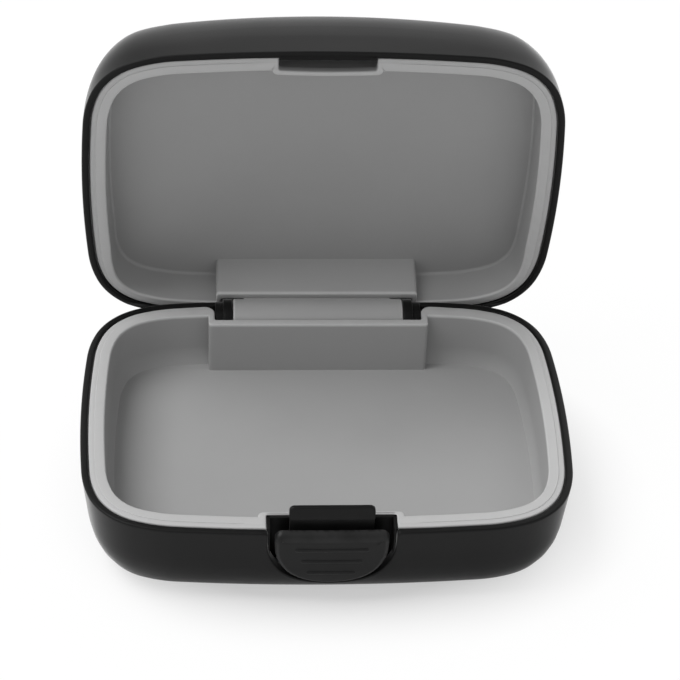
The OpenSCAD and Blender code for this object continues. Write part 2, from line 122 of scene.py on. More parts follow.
class Outline:
    """Five-arc outline of the case's +X half, from the middle of the front to the middle of the rear."""

    TURN = math.atan2(0.07584, 0.99712)
    SHOULDER = math.atan2(0.28, 0.96)
    CORNER = math.atan2(0.752192, 0.658944)
    SHOULDER_R = 21.4
    CORNER_R = 12.35
    FRONT_SHOULDER_R = 25.3
    STEPS = 120

    def __init__(self, half_w, half_d):
        turns = [self.TURN, self.SHOULDER, self.CORNER, self.SHOULDER, self.TURN]
        angles = np.concatenate([[0], np.cumsum(turns)])
        normals = np.stack([np.cos(angles), np.sin(angles)], axis=1)
        chords = np.diff(normals, axis=0)
        known = [self.SHOULDER_R, self.CORNER_R, self.FRONT_SHOULDER_R]
        rest = np.array([-half_w, half_d]) - sum(r * c for r, c in zip(known, chords[1:4]))
        side_r, front_r = np.linalg.solve(np.stack([chords[0], chords[4]], axis=1), rest)
        start = np.array([half_w, 0.0])
        points = []
        ways = []
        for k, radius in enumerate([side_r, *known, front_r]):
            sweep = np.linspace(angles[k], angles[k + 1], self.STEPS, endpoint=False)
            way = np.stack([np.cos(sweep), np.sin(sweep)], axis=1)
            points.append(start + radius * (way - normals[k]))
            ways.append(way)
            start = start + radius * chords[k]
        points = np.concatenate([*points, [[0, half_d]]])
        ways = np.concatenate([*ways, [[0, 1]]])
        flip = np.array([1, -1])
        self.points = np.concatenate([points[:0:-1] * flip, points])
        self.ways = np.concatenate([ways[:0:-1] * flip, ways])
        self.length = np.concatenate([[0], np.cumsum(np.linalg.norm(np.diff(self.points, axis=0), axis=1))])
        self.half = self.length[-1]
        self.side = len(self.points) // 2

    def place(self, s, inset):
        """Points at the lengths s along the outline, moved in from it."""
        xy = np.stack([np.interp(s, self.length, self.points[:, k]) for k in (0, 1)], axis=-1)
        way = np.stack([np.interp(s, self.length, self.ways[:, k]) for k in (0, 1)], axis=-1)
        way /= np.linalg.norm(way, axis=-1, keepdims=True)
        return xy - way * np.asarray(inset)[..., None]

    def length_at(self, x, inset, rear):
        """Length along the outline where the line moved in by inset reaches x, on the front or the rear."""
        part = slice(self.side, None) if rear else slice(0, self.side + 1)
        xs = self.points[part, 0] - self.ways[part, 0] * inset
        lengths = self.length[part]
        if rear:
            return float(np.interp(x, xs[::-1], lengths[::-1]))
        return float(np.interp(x, xs, lengths))


OUTLINE = Outline(HALF_W, HALF_D)


def leg(start, end, count):
    """Straight run of points."""
    return np.linspace(start, end, count)


def bend(centre, radius, start, end, count):
    """Run of points on an arc, with its angles in degrees."""
    angles = np.radians(np.linspace(start, end, count))
    return np.array(centre) + radius * np.stack([np.cos(angles), np.sin(angles)], axis=1)


def joined(*runs):
    """Runs of points in one, without the points that they share."""
    points = [runs[0]]
    for run in runs[1:]:
        points.append(run[1:])
    return np.concatenate(points)


def left_of(points):
    """Unit vectors to the left of a run of points."""
    along = np.gradient(points, axis=0)
    along /= np.linalg.norm(along, axis=1, keepdims=True)
    return np.stack([-along[:, 1], along[:, 0]], axis=1)


def both_halves(rows):
    """Closed rows round the case from rows of its +X half."""
    return np.concatenate([rows, rows[:, -2:0:-1] * (-1, 1, 1)], axis=1)


# Steps of a rounding, as shares of its radius: how far in from its one face, and how far from its other
ROUND = [(1 - math.cos(a), 1 - math.sin(a)) for a in np.radians(np.linspace(0, 90, 6))]


class Piece:
    """Vertices and faces of one moulding, with a value at each vertex, highest on its edges, that paints it
    lighter: scuffing, and on the trays, barrel and latch also a painted highlight.
    """

    # Blocks' rounded edges get the full value and their faces less: lighter edges, partly scuffing and partly
    # painted highlight.
    EDGE_WEAR_AND_HIGHLIGHT = 1.0
    FACE_WEAR_AND_HIGHLIGHT = 0.4
    MERGED_M = 1e-8
    SLIVER_M = 1e-7
    SMOOTH_DEG = 28

    def __init__(self):
        self.points = []
        self.faces = []
        self.wear = []

    def add(self, points, faces, wear):
        """Adds vertices, with the faces between them and their wear."""
        first = len(self.points)
        self.points.extend(tuple(p) for p in points)
        self.faces.extend(tuple(first + i for i in face) for face in faces)
        self.wear.extend(wear)

    def rows(self, rows, wear):
        """A skin over closed rows of points, capped at both ends, with one wear value for each row."""
        rows = np.asarray(rows)
        count, width, _ = rows.shape
        faces = []
        for r in range(count - 1):
            for c in range(width):
                n = (c + 1) % width
                faces.append((r * width + c, r * width + n, (r + 1) * width + n, (r + 1) * width + c))
        faces.append(tuple(range(width))[::-1])
        faces.append(tuple((count - 1) * width + c for c in range(width)))
        self.add(rows.reshape(-1, 3), faces, np.repeat(np.asarray(wear, dtype=float), width))

    def block(self, low, high, edge):
        """A block with rounded edges."""
        mesh = bmesh.new()
        bmesh.ops.create_cube(mesh, size=1)
        low = np.array(low)
        high = np.array(high)
        for vert in mesh.verts:
            vert.co = Vector((low + high) / 2 + np.array(vert.co) * (high - low))
        self.bevelled(mesh, edge)

    def prism(self, outline, half_x, edge, steps=3):
        """A drawing in y and z run along x, with rounded edges."""
        mesh = bmesh.new()
        face = mesh.faces.new([mesh.verts.new((-half_x, y, z)) for y, z in outline])
        raised = bmesh.ops.extrude_face_region(mesh, geom=[face])
        for item in raised["geom"]:
            if isinstance(item, bmesh.types.BMVert):
                item.co.x = half_x
        self.bevelled(mesh, edge, steps)

    def bevelled(self, mesh, edge, steps=3):
        """Rounds all edges of a solid and adds it."""
        bmesh.ops.recalc_face_normals(mesh, faces=mesh.faces)
        edges = list(mesh.edges)
        result = bmesh.ops.bevel(mesh, geom=edges, offset=edge, segments=steps, profile=0.5, affect="EDGES")
        rounded = set(result["faces"])
        mesh.verts.index_update()
        points = [np.array(v.co) for v in mesh.verts]
        faces = [[v.index for v in f.verts] for f in mesh.faces]
        on_edge = [all(f in rounded for f in v.link_faces) for v in mesh.verts]
        self.add(points, faces, [self.EDGE_WEAR_AND_HIGHLIGHT if rubbed_and_highlit else self.FACE_WEAR_AND_HIGHLIGHT for rubbed_and_highlit in on_edge])
        mesh.free()

    def turned(self, profile, steps=72):
        """A profile of (x, radius) points turned about the hinge's line, closed at both ends."""
        angles = np.linspace(0, 2 * math.pi, steps, endpoint=False)
        ring = [(math.cos(a), math.sin(a)) for a in angles]
        rows = [[(x, AXIS_Y + r * c, AXIS_Z + r * s) for c, s in ring] for x, r in profile]
        radii = np.array([r for _, r in profile])
        # Smaller rings, on the rounded ends, get a high value: a painted highlight on the barrel's ends,
        # scuffing on the knuckles.
        self.rows(rows, np.where(radii < radii.max() - 0.01, 0.8, 0.1))

    def mirror_x(self):
        """Adds the mirror image of all there is."""
        points = [(-x, y, z) for x, y, z in self.points]
        faces = [face[::-1] for face in self.faces]
        self.add(points, faces, list(self.wear))

    def finish(self, name, node, body, slot, material, opened=False):
        """Writes the piece as an object in metres, in the pose shown, in place of its CAD node if any."""
        points = np.array(self.points)
        if opened:
            points = open_lid(points)
        points = (points + (0, 0, BASE_H)) * MM
        mesh = bpy.data.meshes.new(name)
        mesh.from_pydata([tuple(p) for p in points], [], self.faces)
        wear = mesh.attributes.new("wear", "FLOAT", "POINT")
        wear.data.foreach_set("value", np.array(self.wear, dtype=np.float32))
        tidy = bmesh.new()
        tidy.from_mesh(mesh)
        bmesh.ops.remove_doubles(tidy, verts=tidy.verts, dist=self.MERGED_M)
        bmesh.ops.dissolve_degenerate(tidy, dist=self.SLIVER_M, edges=tidy.edges)
        bmesh.ops.recalc_face_normals(tidy, faces=tidy.faces)
        tidy.to_mesh(mesh)
        tidy.free()
        for polygon in mesh.polygons:
            polygon.use_smooth = True
        mesh.set_sharp_from_angle(angle=math.radians(self.SMOOTH_DEG))
        mesh.materials.append(material)
        piece = bpy.data.objects.new(name, mesh)
        bpy.context.scene.collection.objects.link(piece)
        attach(piece, body)
        if node:
            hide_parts(node)


def open_lid(points):
    """Turns points of the closed lid about the hinge to the pose shown."""
    angle = math.radians(-OPEN_ANGLE)
    y = points[:, 1] - AXIS_Y
    z = points[:, 2] - AXIS_Z
    turned = points.copy()
    turned[:, 1] = AXIS_Y + y * math.cos(angle) - z * math.sin(angle)
    turned[:, 2] = AXIS_Z + y * math.sin(angle) + z * math.cos(angle)
    return turned


class Profile:
    """Section of a shell: drafted wall, large arc, small arc and flat outside, and a stepped wall inside.

    Its points are (u, z): how far in from the outline, and the height, which is 0 on the rim.
    """

    def __init__(self, height, draft, arc, arc_end, edge, inner):
        draft = math.radians(draft)
        arc_end = math.radians(arc_end)
        wall_end = height - arc * (math.sin(arc_end) - math.sin(draft)) - edge * (1 - math.sin(arc_end))
        arc_u = wall_end * math.tan(draft) + arc * math.cos(draft)
        arc_z = wall_end - arc * math.sin(draft)
        edge_u = arc_u - (arc - edge) * math.cos(arc_end)
        edge_z = arc_z + (arc - edge) * math.sin(arc_end)

        def arc_points(u, z, radius, start, end, count):
            angles = np.linspace(start, end, count)[1:]
            return [(u - radius * math.cos(a), -z - radius * math.sin(a)) for a in angles]

        wall = [(t * wall_end * math.tan(draft), -t * wall_end) for t in np.linspace(0, 1, 8)]
        large = arc_points(arc_u, arc_z, arc, draft, arc_end, 18)
        small = arc_points(edge_u, edge_z, edge, arc_end, math.pi / 2, 12)
        rim = [(RIM_T, 0), (RIM_T, -SEAT), (WALL_T, -SEAT - 0.05)]
        self.outer = np.array(wall + large + small)
        self.inner = np.array(rim + [(WALL_T + u, -height + z) for u, z in inner])
        self.height = height

    def outer_u(self, z):
        """How far in from the outline the outside lies at a height."""
        return np.interp(-z, -self.outer[:, 1], self.outer[:, 0])

    def inner_u(self, z):
        """How far in from the outline the inside lies at a height."""
        return np.interp(-z, -self.inner[:, 1], self.inner[:, 0])


BASE_INNER = [(0.75, 8.9), (1.5, 5.7), (3.2, 3.2), (5.9, FLOOR_T)]
BASE_PROFILE = Profile(BASE_H, draft=6, arc=12, arc_end=50, edge=4, inner=BASE_INNER)
LID_INNER = [(0.5, 9.4), (2.6, 3.8), (6.4, FLOOR_T)]
LID_PROFILE = Profile(LID_H, draft=3, arc=22, arc_end=30, edge=6, inner=LID_INNER)
# The lid's edge is fuller in the middle of its front than at its corners.
LID_MIDDLE = Profile(LID_H, draft=5, arc=22, arc_end=30, edge=3, inner=LID_INNER)
FULL_X = 28.0


def on_wall(s, u, z):
    """Points at the lengths s along the outline, u in from it, at the heights z."""
    xy = OUTLINE.place(s, u)
    return np.concatenate([xy, np.broadcast_to(z, s.shape)[:, None]], axis=1)


def strips(border):
    """Rows over a flat, from its border to its middle line.

    The first row lies close to the border, so that the flat's shading stays level.
    """
    first_in = 0.3
    level = border.copy()
    level[:, 1] -= np.sign(border[:, 1]) * np.minimum(first_in, np.abs(border[:, 1]) / 2)
    return [level * (1, share, 1) for share in (1, 0.5, 0.02)]


def shell_rows(path, foot, foot_z, profile, middle, edge):
    """Rows of a shell's half, from the middle of its outside over the rim to the middle of its inside.

    The path is the rim's, in lengths along the wall and heights, and foot holds the length below each of its
    points at the height foot_z. The profile goes over into the middle one towards the middle of the front.
    """
    inward = -left_of(path)
    inward[0] = inward[-1] = (0, -1)
    start = path + edge * inward
    below = np.stack([foot, np.full(len(foot), foot_z)], axis=1)
    foot_xy = OUTLINE.place(foot, np.zeros(len(foot)))
    full = np.clip(1 - (foot_xy[:, 0] / FULL_X) ** 2, 0, 1) * (foot_xy[:, 1] < 0)
    under_foot = foot_z - 0.2
    roll_low = -profile.height + 0.01
    roll_top = -profile.height + 2
    rows = []
    wear = []

    def row(s, u, z, worn_and_highlit):
        rows.append(on_wall(s, u, z))
        wear.append(worn_and_highlit)

    def flat(levels):
        rows.extend(levels)
        wear.extend([0.0] * len(levels))

    def outer_u(z):
        return profile.outer_u(z) + full * (middle.outer_u(z) - profile.outer_u(z))

    flat_u = profile.outer[-1][0] + full * (middle.outer[-1][0] - profile.outer[-1][0])
    flat(strips(on_wall(foot, flat_u, -profile.height))[::-1])
    for (u, z), (mid_u, mid_z) in zip(profile.outer[::-1], middle.outer[::-1]):
        if max(z, mid_z) < under_foot:
            worn_and_highlit = 0.25 if roll_low < z < roll_top else 0.0
            row(foot, u + full * (mid_u - u), z + full * (mid_z - z), worn_and_highlit)
    for t in (1, 0.86, 0.72, 0.58, 0.45, 0.33, 0.22, 0.13, 0.06, 0.02, 0):
        at = start + t * (below - start)
        row(at[:, 0], outer_u(at[:, 1]), at[:, 1], 0.6 if t == 0 else 0.0)
    for rise, fall in ROUND[1:]:
        at = path + edge * fall * inward
        row(at[:, 0], outer_u(at[:, 1]) + edge * rise, at[:, 1], 1.0)
    for rise, fall in ROUND[::-1]:
        at = path + edge * fall * inward
        row(at[:, 0], profile.inner_u(at[:, 1]) - edge * rise, at[:, 1], 0.5)
    for t in (0.05, 0.12, 0.25, 0.5, 0.75, 1):
        at = start + t * (below - start)
        row(at[:, 0], profile.inner_u(at[:, 1]), at[:, 1], 0.0)
    for u, z in profile.inner:
        if z < under_foot:
            row(foot, np.full(len(foot), u), z, 0.0)
    flat(strips(rows[-1]))
    return both_halves(np.array(rows)), np.array(wear)


def foot_lengths(path, marks):
    """Lengths along the foot under each point of a path, from pairs of (point number, length)."""
    run = np.concatenate([[0], np.cumsum(np.linalg.norm(np.diff(path, axis=0), axis=1))])
    return np.interp(run, [run[i] for i, _ in marks], [length for _, length in marks])


def base_rim_path():
    """Path of the base's rim on its wall: the latch's cut, the rim and the gap for the hinge's barrel."""
    round_r = 0.6
    rim_count = 150
    half = OUTLINE.half
    rear = half - EAR_IN
    sill = AXIS_Z - RECESS_R + 0.2
    runs = [
        bend((0, CUT_Z), CUT_R, -90, 0, 40),
        leg((CUT_R, CUT_Z), (CUT_R, -round_r), 6),
        bend((CUT_R + round_r, -round_r), round_r, 180, 90, 6),
        leg((CUT_R + round_r, 0), (rear - round_r, 0), rim_count),
        bend((rear - round_r, -round_r), round_r, 90, 0, 6),
        leg((rear, -round_r), (rear, sill + round_r), 14),
        bend((rear + round_r, sill + round_r), round_r, 180, 270, 6),
        leg((rear + round_r, sill), (half, sill), 24),
    ]
    ends = np.cumsum([len(run) - 1 for run in runs])
    path = joined(*runs)
    # Between the cut and the gap the foot lies straight under the rim.
    front_clear = 20
    rear_clear = 30
    rim_run = rear - CUT_R
    first_clear = int(ends[2] + rim_count * (front_clear - CUT_R) / rim_run)
    last_clear = int(ends[2] + rim_count * (rear - rear_clear + EAR_IN - CUT_R) / rim_run)
    marks = [
        (0, 0),
        (ends[0], CUT_R + 1.0),
        (first_clear, path[first_clear][0]),
        (last_clear, path[last_clear][0]),
        (ends[5], rear - 0.2),
        (len(path) - 1, half),
    ]
    return path, foot_lengths(path, marks)


def to_cylinder(points, moved, radius):
    """Moves the chosen points onto a cylinder about the hinge's line, where the rear rims pass each other."""
    flat = points.reshape(-1, 3)
    y = flat[:, 1] - AXIS_Y
    z = flat[:, 2] - AXIS_Z
    reach = np.maximum(np.hypot(y, z), 1e-6)
    ratio = np.where(moved(flat[:, 0], y, z, reach), radius / reach, 1)
    rounded = flat.copy()
    rounded[:, 1] = AXIS_Y + y * ratio
    rounded[:, 2] = AXIS_Z + z * ratio
    return rounded.reshape(points.shape)


def past_base_rim(x, y, z, reach):
    """Whether points of the base stand in the way of the lid's rear rim."""
    return (y > 0) & (z > 0) & (reach > RELIEF_R) & (np.abs(x) > EAR_IN - 0.01)


def short_of_lid_rim(x, y, z, reach):
    """Whether points of the lid stand in the way of the base's rear rim."""
    return (z > 0) & (reach < LID_RELIEF_R) & (np.abs(x) > LID_RECESS_X)


def rounded_drum(low_x, high_x, radius, edge):
    """Profile of a drum with rounded ends, for Piece.turned."""
    start = [(low_x + edge * rise, radius - edge * fall) for rise, fall in ROUND]
    end = [(high_x - edge * rise, radius - edge * fall) for rise, fall in ROUND[::-1]]
    return start + end


def build_base_shell(sizes, material):
    """The base's shell with the hinge's end knuckles."""
    foot_z = -14.2
    path, foot = base_rim_path()
    rows, wear = shell_rows(path, foot, foot_z, BASE_PROFILE, BASE_PROFILE, sizes.rim_edge / MM)
    piece = Piece()
    piece.rows(to_cylinder(rows, past_base_rim, RELIEF_R), wear)
    # End knuckles, and the lower web beside each
    knuckles = Piece()
    knuckles.turned(rounded_drum(EAR_IN, EAR_OUT, KNUCKLE_R, 0.25))
    knuckles.turned(rounded_drum(EAR_OUT - 0.9, BASE_TRAY.slot_x - 0.1, RELIEF_R, 0.2))
    knuckles.mirror_x()
    piece.add(knuckles.points, knuckles.faces, knuckles.wear)
    piece.finish("base_shell_moulding", "base_shell", "base", "shell_black", material)


def build_pocket(material):
    """Walls of the base shell's pocket behind the button."""
    pocket_front = FRONT + 1.35
    pocket_back = FRONT + 4.1
    pocket_x = 10.0
    wall = 0.6
    floor = -9
    edge = 0.15
    piece = Piece()
    piece.block((-pocket_x - wall, pocket_back, floor), (pocket_x + wall, pocket_back + wall, 0), edge)
    for side in (-1, 1):
        ends = sorted((side * pocket_x, side * (pocket_x + wall)))
        piece.block((ends[0], pocket_front, floor), (ends[1], pocket_back + wall, 0), edge)
    piece.finish("base_shell_pocket", None, "base", "shell_black", material)


def build_lid_shell(sizes, material):
    """The lid's shell with the ledge that the hook catches on."""
    foot_z = -5.5
    half = OUTLINE.half
    rear = half - LID_RECESS_X
    depth = AXIS_Z + RECESS_R - PARTING
    round_r = 0.3
    path = joined(
        leg((0, 0), (rear - round_r, 0), 150),
        bend((rear - round_r, -round_r), round_r, 90, 0, 5),
        leg((rear, -round_r), (rear, -depth + round_r), 4),
        bend((rear + round_r, -depth + round_r), round_r, 180, 270, 5),
        leg((rear + round_r, -depth), (half, -depth), 24),
    )
    rows, wear = shell_rows(path, path[:, 0], foot_z, LID_PROFILE, LID_MIDDLE, sizes.rim_edge / MM)
    rows[..., 2] = PARTING - rows[..., 2]
    piece = Piece()
    piece.rows(to_cylinder(rows, short_of_lid_rim, LID_RELIEF_R), wear)
    ledge_x = HOOK_X + 1.2
    ledge_h = 0.7
    piece.block((-ledge_x, FRONT + 0.7, PARTING), (ledge_x, FRONT + 1.75, PARTING + ledge_h), 0.15)
    piece.finish("lid_shell_moulding", "lid_shell", "lid", "shell_black", material, opened=True)


class TrayLeg:
    """A run of a tray's flat top between its outer and inner edge, drawn from above."""

    def __init__(self, outer, inner, kind):
        self.outer = outer
        self.inner = inner
        self.outer_in = left_of(outer)
        self.inner_in = left_of(inner)
        self.kind = kind


# Each tray's places, with its heights counted from its own shell's rim, down into the shell
BASE_TRAY = SimpleNamespace(
    top=TRAY_PROUD, depth=10.0, fillet=7.2, fillet_h=3.85,
    pocket_x=10.6, pocket_back=FRONT + 4.8, bump_side=1.3, bump_t=0.65, bow=0.0,
    axis_z=AXIS_Z, slot_x=18.5, slot_y=24.8, slot_end=70, turn_r=1.8,
    box_x=19.6, front_y=23.3, rear_out=0.0,
)
LID_TRAY = SimpleNamespace(
    top=-0.3, depth=7.4, fillet=0.6, fillet_h=0.57,
    pocket_x=8.2, pocket_back=FRONT + 4.2, bump_side=1.0, bump_t=0.85, bow=0.25,
    axis_z=PARTING - AXIS_Z, slot_x=17.3, slot_y=26.0, slot_end=88, turn_r=0.8,
    box_x=18.2, front_y=24.7, rear_out=0.95,
)
BOX_ROUND = 0.6


def tray_legs(plan):
    """Legs of a tray's half: round the latch's pocket, along the rim, and round the hinge's box."""
    bump_x = plan.pocket_x + plan.bump_side
    bump_back = plan.pocket_back + plan.bump_t
    rim_start = OUTLINE.length_at(bump_x, TRAY_WALL, False)
    rim_end = OUTLINE.length_at(plan.box_x, TRAY_WALL - plan.rear_out, True)
    turn_r = plan.turn_r
    outer_start = OUTLINE.length_at(plan.pocket_x, TRAY_EDGE, False)
    outer_end = OUTLINE.length_at(plan.slot_x + turn_r, TRAY_EDGE, True)
    count = 170
    rim_outer = OUTLINE.place(np.linspace(outer_start, outer_end, count), np.full(count, TRAY_EDGE))
    inner_lengths = np.linspace(rim_start, rim_end, count)
    # Towards the rear the rim narrows smoothly, by rear_out in all.
    narrowing_from = 13
    narrowing_run = 14
    inner_y = OUTLINE.place(inner_lengths, np.zeros(count))[:, 1]
    rearward = np.clip((inner_y - narrowing_from) / narrowing_run, 0, 1)
    inner_inset = TRAY_WALL - plan.rear_out * rearward**2 * (3 - 2 * rearward)
    rim_inner = OUTLINE.place(inner_lengths, inner_inset)
    pocket_r = 0.5
    bump_r = 0.9
    pocket_side = plan.pocket_x - pocket_r
    bump_side = bump_x - bump_r
    bump_outer = joined(
        leg((0, plan.pocket_back), (pocket_side, plan.pocket_back), 14),
        bend((pocket_side, plan.pocket_back - pocket_r), pocket_r, 90, 0, 7),
        leg((plan.pocket_x, plan.pocket_back - pocket_r), rim_outer[0], 7),
    )
    bump_inner = joined(
        leg((0, bump_back), (bump_side, bump_back), 14),
        bend((bump_side, bump_back - bump_r), bump_r, 90, 0, 7),
        leg((bump_x, bump_back - bump_r), rim_inner[0], 7),
    )
    bump_outer[:, 1] += plan.bow * (1 - (bump_outer[:, 0] / plan.pocket_x) ** 2)
    bump_inner[:, 1] += plan.bow * (1 - (bump_inner[:, 0] / bump_x) ** 2)
    slot_r = 0.4
    slot_side = plan.slot_x - slot_r
    box_side = plan.box_x - BOX_ROUND
    rim_y = rim_outer[-1][1]
    box_start = (plan.box_x, rim_inner[-1][1] - 0.3)
    box_outer = joined(
        bend((plan.slot_x + turn_r, rim_y - turn_r), turn_r, 90, 180, 8),
        leg((plan.slot_x, rim_y - turn_r), (plan.slot_x, plan.slot_y + slot_r), 8),
        bend((slot_side, plan.slot_y + slot_r), slot_r, 0, -90, 6),
        leg((slot_side, plan.slot_y), (0, plan.slot_y), 26),
    )
    box_inner = joined(
        leg(rim_inner[-1], box_start, 8),
        leg(box_start, (plan.box_x, plan.front_y + BOX_ROUND), 8),
        bend((box_side, plan.front_y + BOX_ROUND), BOX_ROUND, 0, -90, 6),
        leg((box_side, plan.front_y), (0, plan.front_y), 26),
    )
    bump = TrayLeg(bump_outer, bump_inner, "bump")
    rim = TrayLeg(rim_outer, rim_inner, "rim")
    box = TrayLeg(box_outer, box_inner, "box")
    # The rim's wall comes in straight where it meets the pocket's and the box's.
    straight = 10
    for k in range(straight):
        rim.inner_in[k, 0] *= k / straight
        rim.inner_in[-1 - k, 0] *= k / straight
    # The outer edge turns a sharp corner where the pocket meets the rim.
    mitre = bump.outer_in[-1] + rim.outer_in[0]
    bump.outer_in[-1] = mitre
    rim.outer_in[0] = mitre
    return bump, rim, box


def wall_steps(plan, high):
    """Heights down a tray's wall and fillet to the floor, and how far each has come in from the edge."""
    lean = TRAY_DRAFT * (plan.top + plan.depth)
    start = math.atan(TRAY_DRAFT)
    end = math.asin(plan.fillet_h / plan.fillet)
    foot = -plan.depth + plan.fillet_h
    heights = np.linspace(high, foot - plan.fillet * math.sin(start), 9)
    steps = [(z, TRAY_DRAFT * (plan.top - z)) for z in heights]
    for a in np.linspace(start, end, 9)[1:]:
        come_in = lean - TRAY_DRAFT * plan.fillet_h + plan.fillet * (1 - math.cos(a))
        steps.append((foot - plan.fillet * math.sin(a), come_in))
    return steps


def tray_rows(plan, edge):
    """Rows of a tray's half, from its underside over the flat top and down the wall to the floor's edge."""
    legs = tray_legs(plan)
    bump, rim, box = legs
    outer = np.concatenate([part.outer for part in legs])
    inner = np.concatenate([part.inner for part in legs])
    outer_in = np.concatenate([part.outer_in for part in legs])
    inner_in = np.concatenate([part.inner_in for part in legs])
    kinds = np.concatenate([[part.kind] * len(part.outer) for part in legs])
    outer_in[0] = inner_in[0] = (0, 1)
    outer_in[-1] = inner_in[-1] = (0, -1)
    in_box = kinds == "box"
    rows = []
    wear = []

    def row(xy, z, worn_and_highlit):
        rows.append(np.concatenate([xy, np.broadcast_to(z, (len(xy),))[:, None]], axis=1))
        wear.append(worn_and_highlit)

    # Underside: a plain step under the rim, and a trough about the hinge's line under the box
    seat = plan.top - SEAT
    foot = plan.depth + 1
    tucked_rim = 1.7
    tucked_bump = 0.3
    tucked = outer + outer_in * np.where(kinds == "rim", tucked_rim, tucked_bump)[:, None]
    drop = plan.axis_z - plan.top + edge
    trough_r = math.hypot(AXIS_Y - plan.slot_y, drop)
    trough_a = math.asin(drop / trough_r)
    share = np.clip((box.outer[0][1] - outer[:, 1]) / (box.outer[0][1] - plan.slot_y), 0, 1)

    def trough(t):
        a = trough_a + t * (math.radians(plan.slot_end) - trough_a)
        xy = outer.copy()
        xy[:, 1] += share * (AXIS_Y - trough_r * math.cos(a) - plan.slot_y)
        return xy, plan.axis_z - trough_r * math.sin(a)

    def under(t, beside, beside_z):
        xy, z = trough(t)
        row(np.where(in_box[:, None], xy, beside), np.where(in_box, z, beside_z), 0)

    # The foot of the box's ends is drawn forward, clear of the shell's rear wall.
    drawn_forward = 2.0
    below = trough(1)[0]
    below[:, 1] -= drawn_forward * (1 - share)
    row(np.where(in_box[:, None], below, tucked), -foot, 0)
    for t in np.linspace(1, 0.12, 8):
        under(t, tucked, seat - t * (foot + seat))
    under(0.06, tucked, seat)
    under(0.03, outer, seat)
    # Flat top, with a faint step a third of its width in that runs out at the pocket and the box
    step_h = 0.1
    step_fade = 8
    step_from = 0.34
    step_to = 0.38
    rim_at = np.flatnonzero(kinds == "rim")
    number = np.arange(len(outer))
    from_end = np.minimum(number - rim_at[0], rim_at[-1] - number)
    step = step_h * np.clip(from_end / step_fade, 0, 1)
    # The flat top is painted in the lighter gray, partly a smoother finish and partly painted reflection; the
    # step's row a little darker, as a painted shade line, and the inner rounding lightest, as a painted
    # highlight.
    for rise, fall in ROUND:
        row(outer + outer_in * edge * rise, plan.top - step - edge * fall, 0.65)
    row(outer + (inner - outer) * step_from, plan.top - step, 0.5)
    row(outer + (inner - outer) * step_to, plan.top, 0.65)
    for rise, fall in ROUND[::-1]:
        row(inner - inner_in * edge * rise, plan.top - edge * fall, 1 - 0.4 * rise)
    # Wall and fillet, with the box's front leaning back and the bump's sides upright
    under_edge = 0.3
    front_run = 40
    wall_y = box.inner[0][1]
    across = (inner[:, 1] - plan.front_y) / (wall_y - plan.front_y)
    bump_y = bump.inner[0][1]
    bump_run = bump_y - bump.inner[-1][1]
    rim_y = np.interp(np.abs(inner[:, 0]), rim.inner[:front_run, 0], rim.inner[:front_run, 1])
    rim_mid = OUTLINE.place(np.zeros(1), np.array([TRAY_WALL]))[0, 1]
    front_y = rim_mid + (rim.inner[0][1] - rim_mid) * (inner[:, 0] / rim.inner[0][0]) ** 2
    front_y = np.where(inner[:, 0] < rim.inner[0][0], front_y, rim_y)
    for z, come_in in wall_steps(plan, plan.top - edge - under_edge):
        xy = inner + inner_in * come_in
        box_front = plan.front_y + (BOX_Y - plan.front_y) * (plan.top - z) / (plan.top + plan.depth)
        drawn = inner.copy()
        drawn[:, 1] = box_front + across * (wall_y - come_in - box_front)
        xy = np.where(in_box[:, None], drawn, xy)
        raised = inner.copy()
        kept = max(0.0, 1 - come_in / bump_run)
        raised[:, 1] = np.maximum(bump_y + (inner[:, 1] - bump_y) * kept, front_y + come_in)
        xy = np.where((kinds == "bump")[:, None], raised, xy)
        row(xy, z, 0.05)
    # The last row, at the floor's crease, is painted a little lighter: a painted highlight line.
    wear[-1] = 0.1
    levels = strips(rows[-1])
    rows.extend(levels)
    wear.extend([0.0] * len(levels))
    return both_halves(np.array(rows)), np.array(wear)


def build_base_tray(sizes, material):
    """The base's gray lining."""
    rows, wear = tray_rows(BASE_TRAY, sizes.tray_edge / MM)
    piece = Piece()
    piece.rows(rows, wear)
    piece.finish("base_tray_moulding", "base_tray", "base", "tray_gray", material)


def build_lid_tray(sizes, material):
    """The lid's gray lining."""
    rows, wear = tray_rows(LID_TRAY, sizes.tray_edge / MM)
    rows[..., 2] = PARTING - rows[..., 2]
    piece = Piece()
    piece.rows(rows, wear)
    piece.finish("lid_tray_moulding", "lid_tray", "lid", "tray_gray", material, opened=True)


def build_barrel(sizes, material):
    """The hinge's centre knuckle with the tab that plugs into the lid's tray."""
    piece = Piece()
    piece.turned(rounded_drum(-BARREL_X, BARREL_X, KNUCKLE_R, sizes.barrel_edge / MM), 96)
    tab_x = BARREL_X - 2
    tab_top = 3.6
    piece.block((-tab_x, AXIS_Y - 2.4, AXIS_Z), (tab_x, AXIS_Y - 0.4, tab_top), 0.2)
    piece.finish("hinge_barrel_moulding", "hinge_barrel", "lid", "tray_gray", material, opened=True)


def button_path(radius, centre_z, top, round_r):
    """Half of a half-oval's edge, from the middle of its foot to the middle of its top, in x and z."""
    return joined(
        bend((0, centre_z), radius, -90, 0, 44),
        leg((radius, centre_z), (radius, top - round_r), 5),
        bend((radius - round_r, top - round_r), round_r, 0, 90, 10),
        leg((radius - round_r, top), (0, top), 20),
    )


def hook_sections(edge):
    """Sections from the hook's front to its back: each one's inset, move back and share of the depth."""
    front = [(edge * fall, edge * rise, 0) for rise, fall in ROUND]
    back = [(edge * fall, -edge * rise, 1) for rise, fall in ROUND[::-1]]
    return front + back


